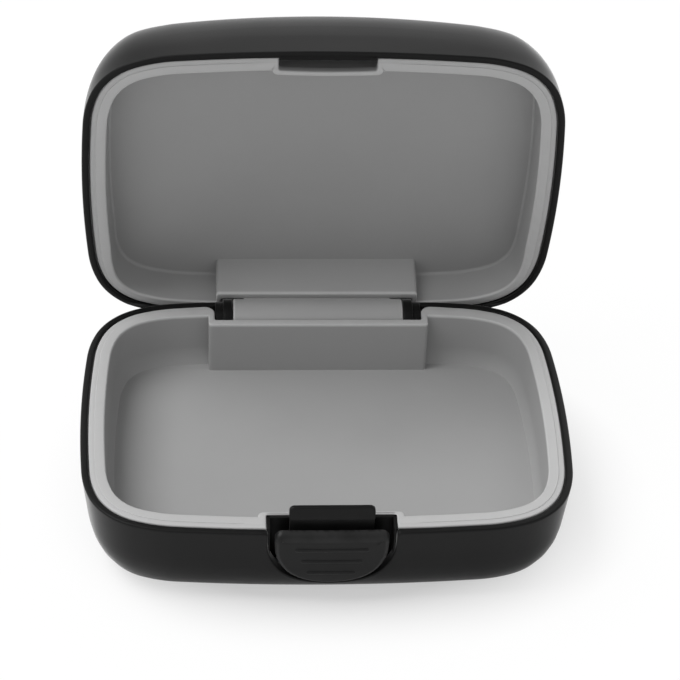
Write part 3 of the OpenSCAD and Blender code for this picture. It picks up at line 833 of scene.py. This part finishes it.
def hook_outline(half_x, low, high):
    """The hook's outline seen from the front, in x and z."""
    top_r = 0.8
    low_r = 0.25
    return joined(
        leg((0, low), (half_x - low_r, low), 10),
        bend((half_x - low_r, low + low_r), low_r, -90, 0, 5),
        leg((half_x, low + low_r), (half_x, high - top_r), 4),
        bend((half_x - top_r, high - top_r), top_r, 0, 90, 9),
        leg((half_x - top_r, high), (top_r - half_x, high), 20),
        bend((top_r - half_x, high - top_r), top_r, 90, 180, 9),
        leg((-half_x, high - top_r), (-half_x, low + low_r), 4),
        bend((low_r - half_x, low + low_r), low_r, 180, 270, 5),
        leg((low_r - half_x, low), (-0.5, low), 9),
    )


def build_latch(sizes, material):
    """The latch in one moulding: button, hook, stem, arm to the pivot and tail over the spring."""
    piece = Piece()
    corner_r = 1.3
    path = button_path(BUTTON_R, BUTTON_Z, BUTTON_TOP, corner_r)
    inward = left_of(path)
    inward[0] = (0, 1)
    inward[-1] = (0, -1)
    # The edge is rounded, more so along the top, which is rolled over.
    upward = np.clip(inward[:, 1] * -1, 0, 1)
    edge = (sizes.button_edge + (sizes.button_roll - sizes.button_edge) * upward) / MM
    spine_share = 0.3
    spine_z = BUTTON_Z - 1.2
    spine = np.stack([path[:, 0] * spine_share, np.full(len(path), spine_z)], axis=1)
    button_back = BUTTON_PROUD - BUTTON_T
    rows = []
    wear = []

    def row(at, out, worn_and_highlit):
        u = BASE_PROFILE.outer_u(at[:, 1]) - out
        rows.append(on_wall(at[:, 0], u, at[:, 1]))
        wear.append(worn_and_highlit)

    start = path + edge[:, None] * inward
    for t in (0.97, 0.85, 0.7, 0.55, 0.4, 0.27, 0.16, 0.08, 0.03, 0):
        row(start + t * (spine - start), BUTTON_PROUD, 0.1)
    # The rounded edge rows get the full value, so the edge is painted lighter: partly scuffing, partly a
    # painted highlight.
    for rise, fall in ROUND[1:]:
        row(path + (edge * fall)[:, None] * inward, BUTTON_PROUD - edge * rise, 1.0)
    for at in (path, path + inward * 0.8, spine):
        row(at, button_back, 0)
    piece.rows(both_halves(np.array(rows)), wear)
    # Hook, with a sloping front and rounded upper corners
    nose_low = 1.17
    nose_top = 3.27
    nose_front = FRONT + 2.0
    nose_slope = 0.85
    stem_front = FRONT + 2.7
    stem_back = FRONT + 3.6
    hook_rows = []
    for inset, back, share in hook_sections(sizes.hook_edge / MM):
        outline = hook_outline(HOOK_X - inset, nose_low + inset, nose_top - inset)
        front = nose_front + nose_slope * (outline[:, 1] - nose_low) / (nose_top - nose_low)
        y = front + share * (stem_back - front) + back
        hook_rows.append(np.stack([outline[:, 0], y, outline[:, 1]], axis=1))
    piece.rows(hook_rows, [0.1] * len(hook_rows))
    # Stem, with a foot that carries the button
    foot_front = FRONT + 0.95
    stem_foot = -9.6
    stem = [
        (stem_back, nose_low + 1),
        (stem_front, nose_low + 1),
        (stem_front, -6),
        (foot_front, -6),
        (foot_front, -8.4),
        (stem_front, stem_foot),
        (stem_back, stem_foot),
    ]
    hidden_edge = 0.1
    piece.prism(stem, HOOK_X - 0.1, hidden_edge)
    # Arm to the pivot, and the tail over the spring
    pivot = np.array(JOINTS["latch_press"]["pos_m"]) / MM - (0, 0, BASE_H)
    boss_r = 1.5
    around = [np.array((math.cos(a), math.sin(a))) for a in np.linspace(-2.2, 1.57, 18)]
    boss = [tuple(pivot[1:] + boss_r * way) for way in around]
    arm = [(stem_front, -9.0), (stem_front, -9.7), (FRONT + 4.25, -11.8)] + boss
    arm += [(FRONT + 4.7, -11.2), (stem_back, -9.7), (stem_back, -9.0)]
    arm_x = 5.5
    piece.prism(arm, arm_x, hidden_edge, steps=2)
    press_room = 0.16
    tail_x = 2.6
    tail_low = pivot[2] - 0.2 + press_room
    piece.block((-tail_x, pivot[1], tail_low), (tail_x, pivot[1] + 4.6, pivot[2] + 1.2), hidden_edge)
    piece.finish("latch_moulding", "latch_button", "latch", "latch_black", material)


def ridge_tree():
    """Node tree of the button's grip: rounded bars in a column, each narrower than the one above it."""
    tree = bpy.data.node_groups.new("Grip ridges", "GeometryNodeTree")
    sockets = (
        ("Count", "NodeSocketInt"), ("Start", "NodeSocketVector"), ("Step", "NodeSocketVector"),
        ("Width", "NodeSocketFloat"), ("Narrowing", "NodeSocketFloat"), ("Radius", "NodeSocketFloat"),
        ("Material", "NodeSocketMaterial"),
    )
    for label, kind in sockets:
        tree.interface.new_socket(name=label, in_out="INPUT", socket_type=kind)
    tree.interface.new_socket(name="Geometry", in_out="OUTPUT", socket_type="NodeSocketGeometry")
    start = add_node(tree, "NodeGroupInput")
    # One bar along x, with its ends drawn in
    left = add_node(tree, "ShaderNodeCombineXYZ", {"X": value_node(tree, "MULTIPLY", start["Width"], -0.5)})
    right = add_node(tree, "ShaderNodeCombineXYZ", {"X": value_node(tree, "MULTIPLY", start["Width"], 0.5)})
    ends = {"Start": left["Vector"], "End": right["Vector"]}
    line = add_node(tree, "GeometryNodeCurvePrimitiveLine", ends)
    along = add_node(tree, "GeometryNodeResampleCurve", {"Curve": line["Curve"], "Count": 60})
    ring = {"Resolution": 20, "Radius": start["Radius"]}
    section = add_node(tree, "GeometryNodeCurvePrimitiveCircle", ring)
    place = add_node(tree, "GeometryNodeSplineParameter")["Factor"]
    from_middle = value_node(tree, "ABSOLUTE", value_node(tree, "SUBTRACT", place, 0.5))
    drawn_in = value_node(tree, "POWER", value_node(tree, "MULTIPLY", from_middle, 2.0), 24.0)
    bar = add_node(tree, "GeometryNodeCurveToMesh", {
        "Curve": along["Curve"],
        "Profile Curve": section["Curve"],
        "Scale": value_node(tree, "SQRT", value_node(tree, "SUBTRACT", 1.0, drawn_in)),
        "Fill Caps": True,
    })
    # The column of bars
    column = add_node(tree, "GeometryNodeMeshLine", {
        "Count": start["Count"],
        "Start Location": start["Start"],
        "Offset": start["Step"],
    })
    number = add_node(tree, "GeometryNodeInputIndex")["Index"]
    each = value_node(tree, "DIVIDE", start["Narrowing"], start["Width"])
    width = value_node(tree, "SUBTRACT", 1.0, value_node(tree, "MULTIPLY", number, each))
    scale = add_node(tree, "ShaderNodeCombineXYZ", {"X": width, "Y": 1.0, "Z": 1.0})
    bars = add_node(tree, "GeometryNodeInstanceOnPoints", {
        "Points": column["Mesh"],
        "Instance": bar["Mesh"],
        "Scale": scale["Vector"],
    })
    solid = add_node(tree, "GeometryNodeRealizeInstances", {"Geometry": bars["Instances"]})
    # The bars' upper sides are painted lighter the more they face up: a painted highlight.
    facing = add_node(tree, "GeometryNodeInputNormal")["Normal"]
    upward = add_node(tree, "ShaderNodeSeparateXYZ", {"Vector": facing})["Z"]
    rubbed_and_highlit = add_node(tree, "GeometryNodeStoreNamedAttribute", {
        "Name": "wear",
        "Geometry": solid["Geometry"],
        "Value": value_node(tree, "MAXIMUM", upward, 0.0),
    })
    finish = {"Geometry": rubbed_and_highlit["Geometry"], "Material": start["Material"]}
    finished = add_node(tree, "GeometryNodeSetMaterial", finish)
    add_node(tree, "NodeGroupOutput", {"Geometry": finished["Geometry"]})
    return tree


def build_ridges(sizes, material):
    """Grip ridges on the button's face, made by their node tree and kept as a plain mesh."""
    first_z = -3.45
    step_z = 2.8
    radius = 0.42
    proud = 0.2
    count = sizes.ridge_count
    last_z = first_z - step_z * max(count - 1, 1)
    first_u, last_u = BASE_PROFILE.outer_u(np.array([first_z, last_z]))
    lean = (last_u - first_u) / max(count - 1, 1)
    first = np.array([0, FRONT + first_u - BUTTON_PROUD + radius - proud, first_z + BASE_H])
    values = {
        "Count": count,
        "Start": [float(v) for v in first * MM],
        "Step": [0.0, float(lean * MM), -step_z * MM],
        "Width": sizes.ridge_width,
        "Narrowing": sizes.ridge_narrowing,
        "Radius": radius * MM,
        "Material": material,
    }
    tree = ridge_tree()
    ridges = bpy.data.objects.new("latch_grip_ridges", bpy.data.meshes.new("latch_grip_ridges"))
    bpy.context.scene.collection.objects.link(ridges)
    modifier = ridges.modifiers.new("Grip ridges", "NODES")
    modifier.node_group = tree
    for item in tree.interface.items_tree:
        if item.in_out == "INPUT":
            modifier[item.identifier] = values[item.name]
    made = ridges.evaluated_get(bpy.context.evaluated_depsgraph_get())
    mesh = bpy.data.meshes.new_from_object(made)
    ridges.modifiers.clear()
    ridges.data = mesh
    for polygon in mesh.polygons:
        polygon.use_smooth = True
    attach(ridges, "latch")


def feed(tree, value, socket):
    """Links a socket to an input, or sets a plain value on it."""
    if isinstance(value, bpy.types.NodeSocket):
        tree.links.new(value, socket)
    else:
        socket.default_value = value


def add_node(tree, kind, inputs=None):
    """Adds a node, feeds its named inputs, and gives its outputs."""
    node = tree.nodes.new(kind)
    for label, value in (inputs or {}).items():
        feed(tree, value, node.inputs[label])
    return node.outputs


def mix_node(tree, a, b, factor):
    """Mixes two colours by a factor; each is a socket or a plain colour."""
    mix = tree.nodes.new("ShaderNodeMix")
    mix.data_type = "RGBA"
    for label, value in (("Factor", factor), ("A", a), ("B", b)):
        feed(tree, value, mix.inputs[label])
    return mix.outputs["Result"]


def value_node(tree, operation, *values):
    """Reckons with values; each is a socket or a number."""
    node = tree.nodes.new("ShaderNodeMath")
    node.operation = operation
    for socket, value in zip(node.inputs, values):
        feed(tree, value, socket)
    return node.outputs[0]


def spread(tree, socket, low, high, to_low=0.0, to_high=1.0):
    """Spreads the values between low and high over another range."""
    ends = {"From Min": low, "From Max": high, "To Min": to_low, "To Max": to_high}
    return add_node(tree, "ShaderNodeMapRange", {"Value": socket, **ends})["Result"]


def noise(tree, coordinates, scale, detail):
    """Cloudy values between 0 and 1."""
    inputs = {"Vector": coordinates, "Scale": scale, "Detail": detail}
    return add_node(tree, "ShaderNodeTexNoise", inputs)["Fac"]


def new_group(name, inputs, outputs):
    """An empty shader node group with named values going in and out."""
    group = bpy.data.node_groups.new(name, "ShaderNodeTree")
    for label, default in inputs:
        socket = group.interface.new_socket(name=label, in_out="INPUT", socket_type="NodeSocketFloat")
        socket.default_value = default
    for label in outputs:
        group.interface.new_socket(name=label, in_out="OUTPUT", socket_type="NodeSocketFloat")
    return group, add_node(group, "NodeGroupInput"), group.nodes.new("NodeGroupOutput").inputs


def moulded_grain_group():
    """Spark-eroded grain of a moulded face: fine pits, and a slow change of tone from flow and handling."""
    group, start, end = new_group("Moulded grain", [("Scale", 2600.0)], ["Height", "Tone"])
    coordinates = add_node(group, "ShaderNodeTexCoord")["Object"]
    fine = noise(group, coordinates, start["Scale"], 3.0)
    cell_scale = value_node(group, "MULTIPLY", start["Scale"], 0.8)
    cells = add_node(group, "ShaderNodeTexVoronoi", {"Vector": coordinates, "Scale": cell_scale})
    feed(group, value_node(group, "MULTIPLY_ADD", cells["Distance"], 0.5, fine), end["Height"])
    slow_scale = 55.0
    slow = noise(group, coordinates, slow_scale, 4.0)
    feed(group, spread(group, slow, 0.3, 0.7), end["Tone"])
    return group


def edge_wear_and_highlight_group():
    """Mask of lighter edges and tops: the piece's own values for scuffing and painted highlights, broken up
    by small scratches.
    """
    group, start, end = new_group("Edge wear and highlights", [("Amount", 0.5), ("Scratches", 0.5)], ["Mask"])
    attribute = group.nodes.new("ShaderNodeAttribute")
    attribute.attribute_name = "wear"
    coordinates = add_node(group, "ShaderNodeTexCoord")["Object"]
    scratch_scale = 380.0
    scratched = spread(group, noise(group, coordinates, scratch_scale, 5.0), 0.25, 0.75)
    lost = value_node(group, "MULTIPLY", scratched, start["Scratches"])
    kept = value_node(group, "SUBTRACT", 1.0, lost)
    worn_and_highlit = value_node(group, "MULTIPLY", attribute.outputs["Fac"], kept)
    feed(group, value_node(group, "MULTIPLY", worn_and_highlit, start["Amount"]), end["Mask"])
    return group


def shared_group(tree, name, build, values):
    """Places a node group, made once, in a material's tree with its own values, and gives its outputs."""
    node = tree.nodes.new("ShaderNodeGroup")
    node.node_tree = bpy.data.node_groups.get(name) or build()
    for label, value in values.items():
        node.inputs[label].default_value = value
    return node.outputs


def new_material(name):
    """A new material, with its tree and its shader."""
    material = bpy.data.materials.new(name)
    material.use_nodes = True
    return material, material.node_tree, material.node_tree.nodes["Principled BSDF"]


def plastic(name, colour, rubbed_and_highlit, look):
    """Moulded plastic with grain, a slow change of tone, and a lighter colour where the piece's values mark
    scuffing and painted highlights.
    """
    if name in bpy.data.materials:
        return bpy.data.materials[name]
    material, tree, shader = new_material(name)
    grain = shared_group(tree, "Moulded grain", moulded_grain_group, {"Scale": look["grain"]})
    scuff_and_highlight_inputs = {"Amount": look["wear"], "Scratches": look["scratches"]}
    wear = shared_group(tree, "Edge wear and highlights", edge_wear_and_highlight_group, scuff_and_highlight_inputs)
    dark = [c * (1 - look["mottle"]) for c in colour] + [1]
    light = [c * (1 + look["mottle"]) for c in colour] + [1]
    base = mix_node(tree, dark, light, grain["Tone"])
    # The lighter colour is scuffing and painted highlight, by the mask.
    feed(tree, mix_node(tree, base, [*rubbed_and_highlit, 1], wear["Mask"]), shader.inputs["Base Color"])
    rough = value_node(tree, "MULTIPLY_ADD", grain["Tone"], look["rough_change"], look["rough"])
    polish = value_node(tree, "MULTIPLY", wear["Mask"], -look["polish"])
    feed(tree, value_node(tree, "ADD", rough, polish), shader.inputs["Roughness"])
    pits = {"Strength": look["bump"], "Distance": look["pit"] * MM, "Height": grain["Height"]}
    feed(tree, add_node(tree, "ShaderNodeBump", pits)["Normal"], shader.inputs["Normal"])
    shader.inputs["Specular IOR Level"].default_value = look["shine"]
    shader.inputs["Sheen Weight"].default_value = look["sheen"]
    shader.inputs["Sheen Roughness"].default_value = SHEEN_ROUGH
    return material


def steel_material(colour):
    """Drawn steel wire and ground pins, with a slow change of tone and gloss."""
    name = "drawn_steel"
    if name in bpy.data.materials:
        return bpy.data.materials[name]
    shaded = 0.85
    rough_low = 0.24
    rough_change = 0.12
    material, tree, shader = new_material(name)
    tone = shared_group(tree, "Moulded grain", moulded_grain_group, {})["Tone"]
    dark = [c * shaded for c in colour] + [1]
    feed(tree, mix_node(tree, dark, [*colour, 1], tone), shader.inputs["Base Color"])
    rough = value_node(tree, "MULTIPLY_ADD", tone, rough_change, rough_low)
    feed(tree, rough, shader.inputs["Roughness"])
    shader.inputs["Metallic"].default_value = 1.0
    return material


SHEEN_ROUGH = 0.26
SHELL_LOOK = {
    "grain": 2600.0, "wear": 0.1, "scratches": 0.8, "mottle": 0.1, "rough": 0.44, "rough_change": 0.06,
    "polish": 0.1, "bump": 0.2, "pit": 0.02, "shine": 0.14, "sheen": 0.6,
}
POCKET_LOOK = {**SHELL_LOOK, "sheen": 0.0}
LATCH_LOOK = {
    "grain": 3200.0, "wear": 0.5, "scratches": 0.6, "mottle": 0.1, "rough": 0.4, "rough_change": 0.06,
    "polish": 0.1, "bump": 0.15, "pit": 0.02, "shine": 0.16, "sheen": 0.1,
}
TRAY_LOOK = {
    "grain": 3400.0, "wear": 1.0, "scratches": 0.12, "mottle": 0.02, "rough": 0.5, "rough_change": 0.06,
    "polish": 0.08, "bump": 0.14, "pit": 0.02, "shine": 0.35, "sheen": 0.0,
}


def shell_material(colours):
    """Black of the shells, a little grayer where the rims are rubbed."""
    rubbed_and_highlit = [min(1, c * 3) for c in colours.shell]
    return plastic("shell_black_plastic", colours.shell, rubbed_and_highlit, SHELL_LOOK)


def pocket_material(colours):
    """Black of the shells without their sheen."""
    return plastic("pocket_black_plastic", colours.shell, colours.shell, POCKET_LOOK)


def latch_material(colours):
    """Black of the latch, lighter gray along the button's edges and on the ridges' upper sides: partly
    scuffing, partly painted highlight.
    """
    rubbed_and_highlit = [min(1, c * 8) for c in colours.latch]
    return plastic("latch_black_plastic", colours.latch, rubbed_and_highlit, LATCH_LOOK)


def tray_material(colours):
    """Gray of the trays and the barrel, lighter on their flat tops, edges and ends: on the tops partly a
    smoother finish and partly painted reflection, on the edges and ends painted highlight.
    """
    return plastic("tray_gray_plastic", colours.tray, colours.tray_rim_and_highlight, TRAY_LOOK)


def neutral(slot, share):
    """A plain gray, as a share of the green of a slot's colour."""
    return [SLOTS[slot]["base_color"][1] * share] * 3


class CaseSizes(bpy.types.PropertyGroup):
    """Edges and small forms of the case that a user would change."""

    rim_edge: bpy.props.FloatProperty(
        name="Rim edge", description="Rounding of the shells' rims", default=0.35 * MM, unit="LENGTH")
    tray_edge: bpy.props.FloatProperty(
        name="Tray edge", description="Rounding of the trays' flat tops", default=0.3 * MM, unit="LENGTH")
    barrel_edge: bpy.props.FloatProperty(
        name="Barrel edge", description="Rounding of the hinge barrel's ends",
        default=0.35 * MM, unit="LENGTH")
    button_edge: bpy.props.FloatProperty(
        name="Button edge", description="Rounding of the button's sides and foot",
        default=0.8 * MM, unit="LENGTH")
    button_roll: bpy.props.FloatProperty(
        name="Button roll", description="Rounding of the button's top", default=1.7 * MM, unit="LENGTH")
    hook_edge: bpy.props.FloatProperty(
        name="Hook edge", description="Rounding of the hook's edges", default=0.25 * MM, unit="LENGTH")
    ridge_count: bpy.props.IntProperty(
        name="Grip ridges", description="Number of ridges on the button", default=3)
    ridge_width: bpy.props.FloatProperty(
        name="Top ridge's width", description="Width of the highest ridge",
        default=12.3 * MM, unit="LENGTH")
    ridge_narrowing: bpy.props.FloatProperty(
        name="Ridge narrowing", description="How much narrower each ridge is than the one above it",
        default=2.1 * MM, unit="LENGTH")


class CaseColours(bpy.types.PropertyGroup):
    """Colours of the case's plastics and steel."""

    shell: bpy.props.FloatVectorProperty(
        name="Shells", description="Black of the two shells", subtype="COLOR",
        default=neutral("shell_black", 0.2), min=0, max=1)
    tray: bpy.props.FloatVectorProperty(
        name="Trays", description="Gray of the trays' floors and walls and of the hinge barrel",
        subtype="COLOR", default=neutral("tray_gray", 0.9), min=0, max=1)
    # The lighter gray is partly a smoother finish and partly painted reflection and highlight.
    tray_rim_and_highlight: bpy.props.FloatVectorProperty(
        name="Tray rims", description="Lighter gray of the trays' smooth flat tops", subtype="COLOR",
        default=neutral("tray_gray", 1.4), min=0, max=1)
    latch: bpy.props.FloatVectorProperty(
        name="Latch", description="Black of the button and hook", subtype="COLOR",
        default=neutral("latch_black", 0.15), min=0, max=1)
    steel: bpy.props.FloatVectorProperty(
        name="Steel", description="Tint of the pins and the spring", subtype="COLOR",
        default=SLOTS["steel"]["base_color"], min=0, max=1)
    floor: bpy.props.FloatVectorProperty(
        name="Floor", description="Colour of the floor and backdrop", subtype="COLOR",
        default=(0.92, 0.92, 0.92), min=0, max=1)


class CASE_OT_shells(bpy.types.Operator):
    """Build the black shells of the base and the lid"""

    bl_idname = "case.shells"
    bl_label = "Shells"

    def execute(self, context):
        scene = context.scene
        material = shell_material(scene.case_colours)
        build_base_shell(scene.case_sizes, material)
        build_pocket(pocket_material(scene.case_colours))
        build_lid_shell(scene.case_sizes, material)
        return {"FINISHED"}


class CASE_OT_trays(bpy.types.Operator):
    """Build the gray trays of the base and the lid"""

    bl_idname = "case.trays"
    bl_label = "Trays"

    def execute(self, context):
        scene = context.scene
        material = tray_material(scene.case_colours)
        build_base_tray(scene.case_sizes, material)
        build_lid_tray(scene.case_sizes, material)
        return {"FINISHED"}


class CASE_OT_hinge(bpy.types.Operator):
    """Build the hinge's barrel and finish its pin"""

    bl_idname = "case.hinge"
    bl_label = "Hinge"

    def execute(self, context):
        scene = context.scene
        build_barrel(scene.case_sizes, tray_material(scene.case_colours))
        finish_node("hinge_pin", steel_material(scene.case_colours.steel))
        return {"FINISHED"}


class CASE_OT_latch(bpy.types.Operator):
    """Build the latch with its button, grip ridges, hook and spring"""

    bl_idname = "case.latch"
    bl_label = "Latch"

    def execute(self, context):
        scene = context.scene
        material = latch_material(scene.case_colours)
        build_latch(scene.case_sizes, material)
        build_ridges(scene.case_sizes, material)
        steel = steel_material(scene.case_colours.steel)
        finish_node("latch_pin", steel)
        finish_node("latch_spring", steel)
        return {"FINISHED"}


class CASE_OT_stage(bpy.types.Operator):
    """Set up the floor, the lights and the camera"""

    bl_idname = "case.stage"
    bl_label = "Stage"

    def execute(self, context):
        build_floor(context.scene.case_colours.floor)
        build_lights(context.scene)
        build_camera(context.scene)
        return {"FINISHED"}


def finish_node(node, material):
    """Gives a CAD node that stays its material."""
    shown = bpy.data.objects[node]
    shown.data.materials.clear()
    shown.data.materials.append(material)


def build_floor(colour):
    """Pale paper under the case, which goes over into the white backdrop away from it."""
    half = 3.0
    mesh = bpy.data.meshes.new("stage_floor")
    corners = [(-half, -half, 0), (half, -half, 0), (half, half, 0), (-half, half, 0)]
    mesh.from_pydata(corners, [], [(0, 1, 2, 3)])
    floor = bpy.data.objects.new("stage_floor", mesh)
    bpy.context.scene.collection.objects.link(floor)
    material, tree, shader = new_material("stage_paper")
    shader.inputs["Base Color"].default_value = (*colour, 1)
    shader.inputs["Roughness"].default_value = 0.9
    shader.inputs["Specular IOR Level"].default_value = 0.1
    # The paper glows more away from the case, so that only the shadow close to it is seen.
    oval = (0.74, 1.0, 1.0)
    near = 0.028
    far = 0.043
    near_glow = 0.48
    far_glow = 0.95
    away = tree.nodes.new("ShaderNodeVectorMath")
    away.operation = "MULTIPLY"
    away.inputs[1].default_value = oval
    feed(tree, add_node(tree, "ShaderNodeTexCoord")["Object"], away.inputs[0])
    reach = tree.nodes.new("ShaderNodeVectorMath")
    reach.operation = "LENGTH"
    feed(tree, away.outputs["Vector"], reach.inputs[0])
    paper_glow = spread(tree, reach.outputs["Value"], near, far, near_glow, far_glow)
    camera_ray = add_node(tree, "ShaderNodeLightPath")["Is Camera Ray"]
    glow = add_node(tree, "ShaderNodeEmission", {"Color": WHITE})["Emission"]
    share = value_node(tree, "MULTIPLY", camera_ray, paper_glow)
    show_both(tree, shader.outputs["BSDF"], glow, share, "Material Output")
    mesh.materials.append(material)


def show_both(tree, first, second, share, end):
    """Shows two shaders mixed by a share."""
    blend = tree.nodes.new("ShaderNodeMixShader")
    feed(tree, share, blend.inputs["Fac"])
    feed(tree, first, blend.inputs[1])
    feed(tree, second, blend.inputs[2])
    feed(tree, blend.outputs["Shader"], tree.nodes[end].inputs["Surface"])


def softbox(name, place, aim, size, power):
    """A soft lamp in metres and watts."""
    light = bpy.data.lights.new(name, "AREA")
    light.shape = "RECTANGLE"
    light.size = size[0]
    light.size_y = size[1]
    light.energy = power
    lamp = bpy.data.objects.new(name, light)
    lamp.location = place
    lamp.rotation_euler = (Vector(aim) - Vector(place)).to_track_quat("-Z", "Y").to_euler()
    bpy.context.scene.collection.objects.link(lamp)


def build_lights(scene):
    """A white room with a lamp over the case and a weak one behind it."""
    room_light = 0.56
    ceiling_from = 0.25
    ceiling_to = 0.6
    ceiling_light = 0.4
    world = bpy.data.worlds.new("white_room")
    world.use_nodes = True
    tree = world.node_tree
    room = tree.nodes["Background"]
    room.inputs["Color"].default_value = WHITE
    room.inputs["Strength"].default_value = room_light
    path = add_node(tree, "ShaderNodeLightPath")
    # Gloss shows a white backdrop that falls off to a darker ceiling.
    way = add_node(tree, "ShaderNodeTexCoord")["Generated"]
    upward = add_node(tree, "ShaderNodeSeparateXYZ", {"Vector": way})["Z"]
    ceiling = spread(tree, upward, ceiling_from, ceiling_to, 1.0, ceiling_light)
    white = value_node(tree, "MAXIMUM", path["Is Camera Ray"], ceiling)
    backdrop = add_node(tree, "ShaderNodeBackground", {"Color": WHITE, "Strength": white})["Background"]
    seen = value_node(tree, "MAXIMUM", path["Is Camera Ray"], path["Is Glossy Ray"])
    show_both(tree, room.outputs["Background"], backdrop, seen, "World Output")
    scene.world = world
    softbox("light_over", place=(-0.75, 0.1, 1.15), aim=(0, 0, 0.02), size=(1.0, 0.9), power=15.5)
    softbox("light_behind", place=(0.2, 0.75, 0.5), aim=(0, 0.03, 0.04), size=(1.0, 0.5), power=2.0)
    scene.view_settings.view_transform = "Standard"


def build_camera(scene):
    """Camera at the photograph's viewing angle, with its frame taken to be square."""
    elevation = math.radians(38.972)
    yaw = math.radians(4.506)
    roll = math.radians(-2.743)
    offset = Vector((-2.621, -11.964, -407.817))
    up = math.sin(elevation)
    level = math.cos(elevation)
    tilt = Matrix(((1, 0, 0), (0, up, level), (0, -level, up)))
    view = Matrix.Rotation(roll, 3, "Z") @ tilt @ Matrix.Rotation(yaw, 3, "Z")
    place = (view.transposed() @ -offset + Vector((0, 0, BASE_H))) * MM
    data = bpy.data.cameras.new("photo_camera")
    data.sensor_width = 36.0
    data.lens = 126.69
    data.clip_start = 0.01
    camera = bpy.data.objects.new("photo_camera", data)
    camera.matrix_world = Matrix.Translation(place) @ view.transposed().to_4x4()
    scene.collection.objects.link(camera)
    scene.camera = camera


class CASE_PT_panel(bpy.types.Panel):
    """Lists the case's sizes, colours and building steps"""

    bl_idname = "CASE_PT_panel"
    bl_label = "Hearing Aid Case"
    bl_space_type = "VIEW_3D"
    bl_region_type = "UI"
    bl_category = "Case"

    def draw(self, context):
        layout = self.layout
        for group in (context.scene.case_sizes, context.scene.case_colours):
            for name in group.__annotations__:
                layout.prop(group, name)
        for step in STEPS:
            layout.operator(step.bl_idname)


STEPS = (CASE_OT_shells, CASE_OT_trays, CASE_OT_hinge, CASE_OT_latch, CASE_OT_stage)
CLASSES = (CaseSizes, CaseColours, *STEPS, CASE_PT_panel)


def register():
    for cls in CLASSES:
        bpy.utils.register_class(cls)
    bpy.types.Scene.case_sizes = bpy.props.PointerProperty(type=CaseSizes)
    bpy.types.Scene.case_colours = bpy.props.PointerProperty(type=CaseColours)


def unregister():
    del bpy.types.Scene.case_colours
    del bpy.types.Scene.case_sizes
    for cls in reversed(CLASSES):
        bpy.utils.unregister_class(cls)


def main():
    register()
    bpy.ops.case.shells()
    bpy.ops.case.trays()
    bpy.ops.case.hinge()
    bpy.ops.case.latch()
    bpy.ops.case.stage()


if __name__ == "__main__":
    main()
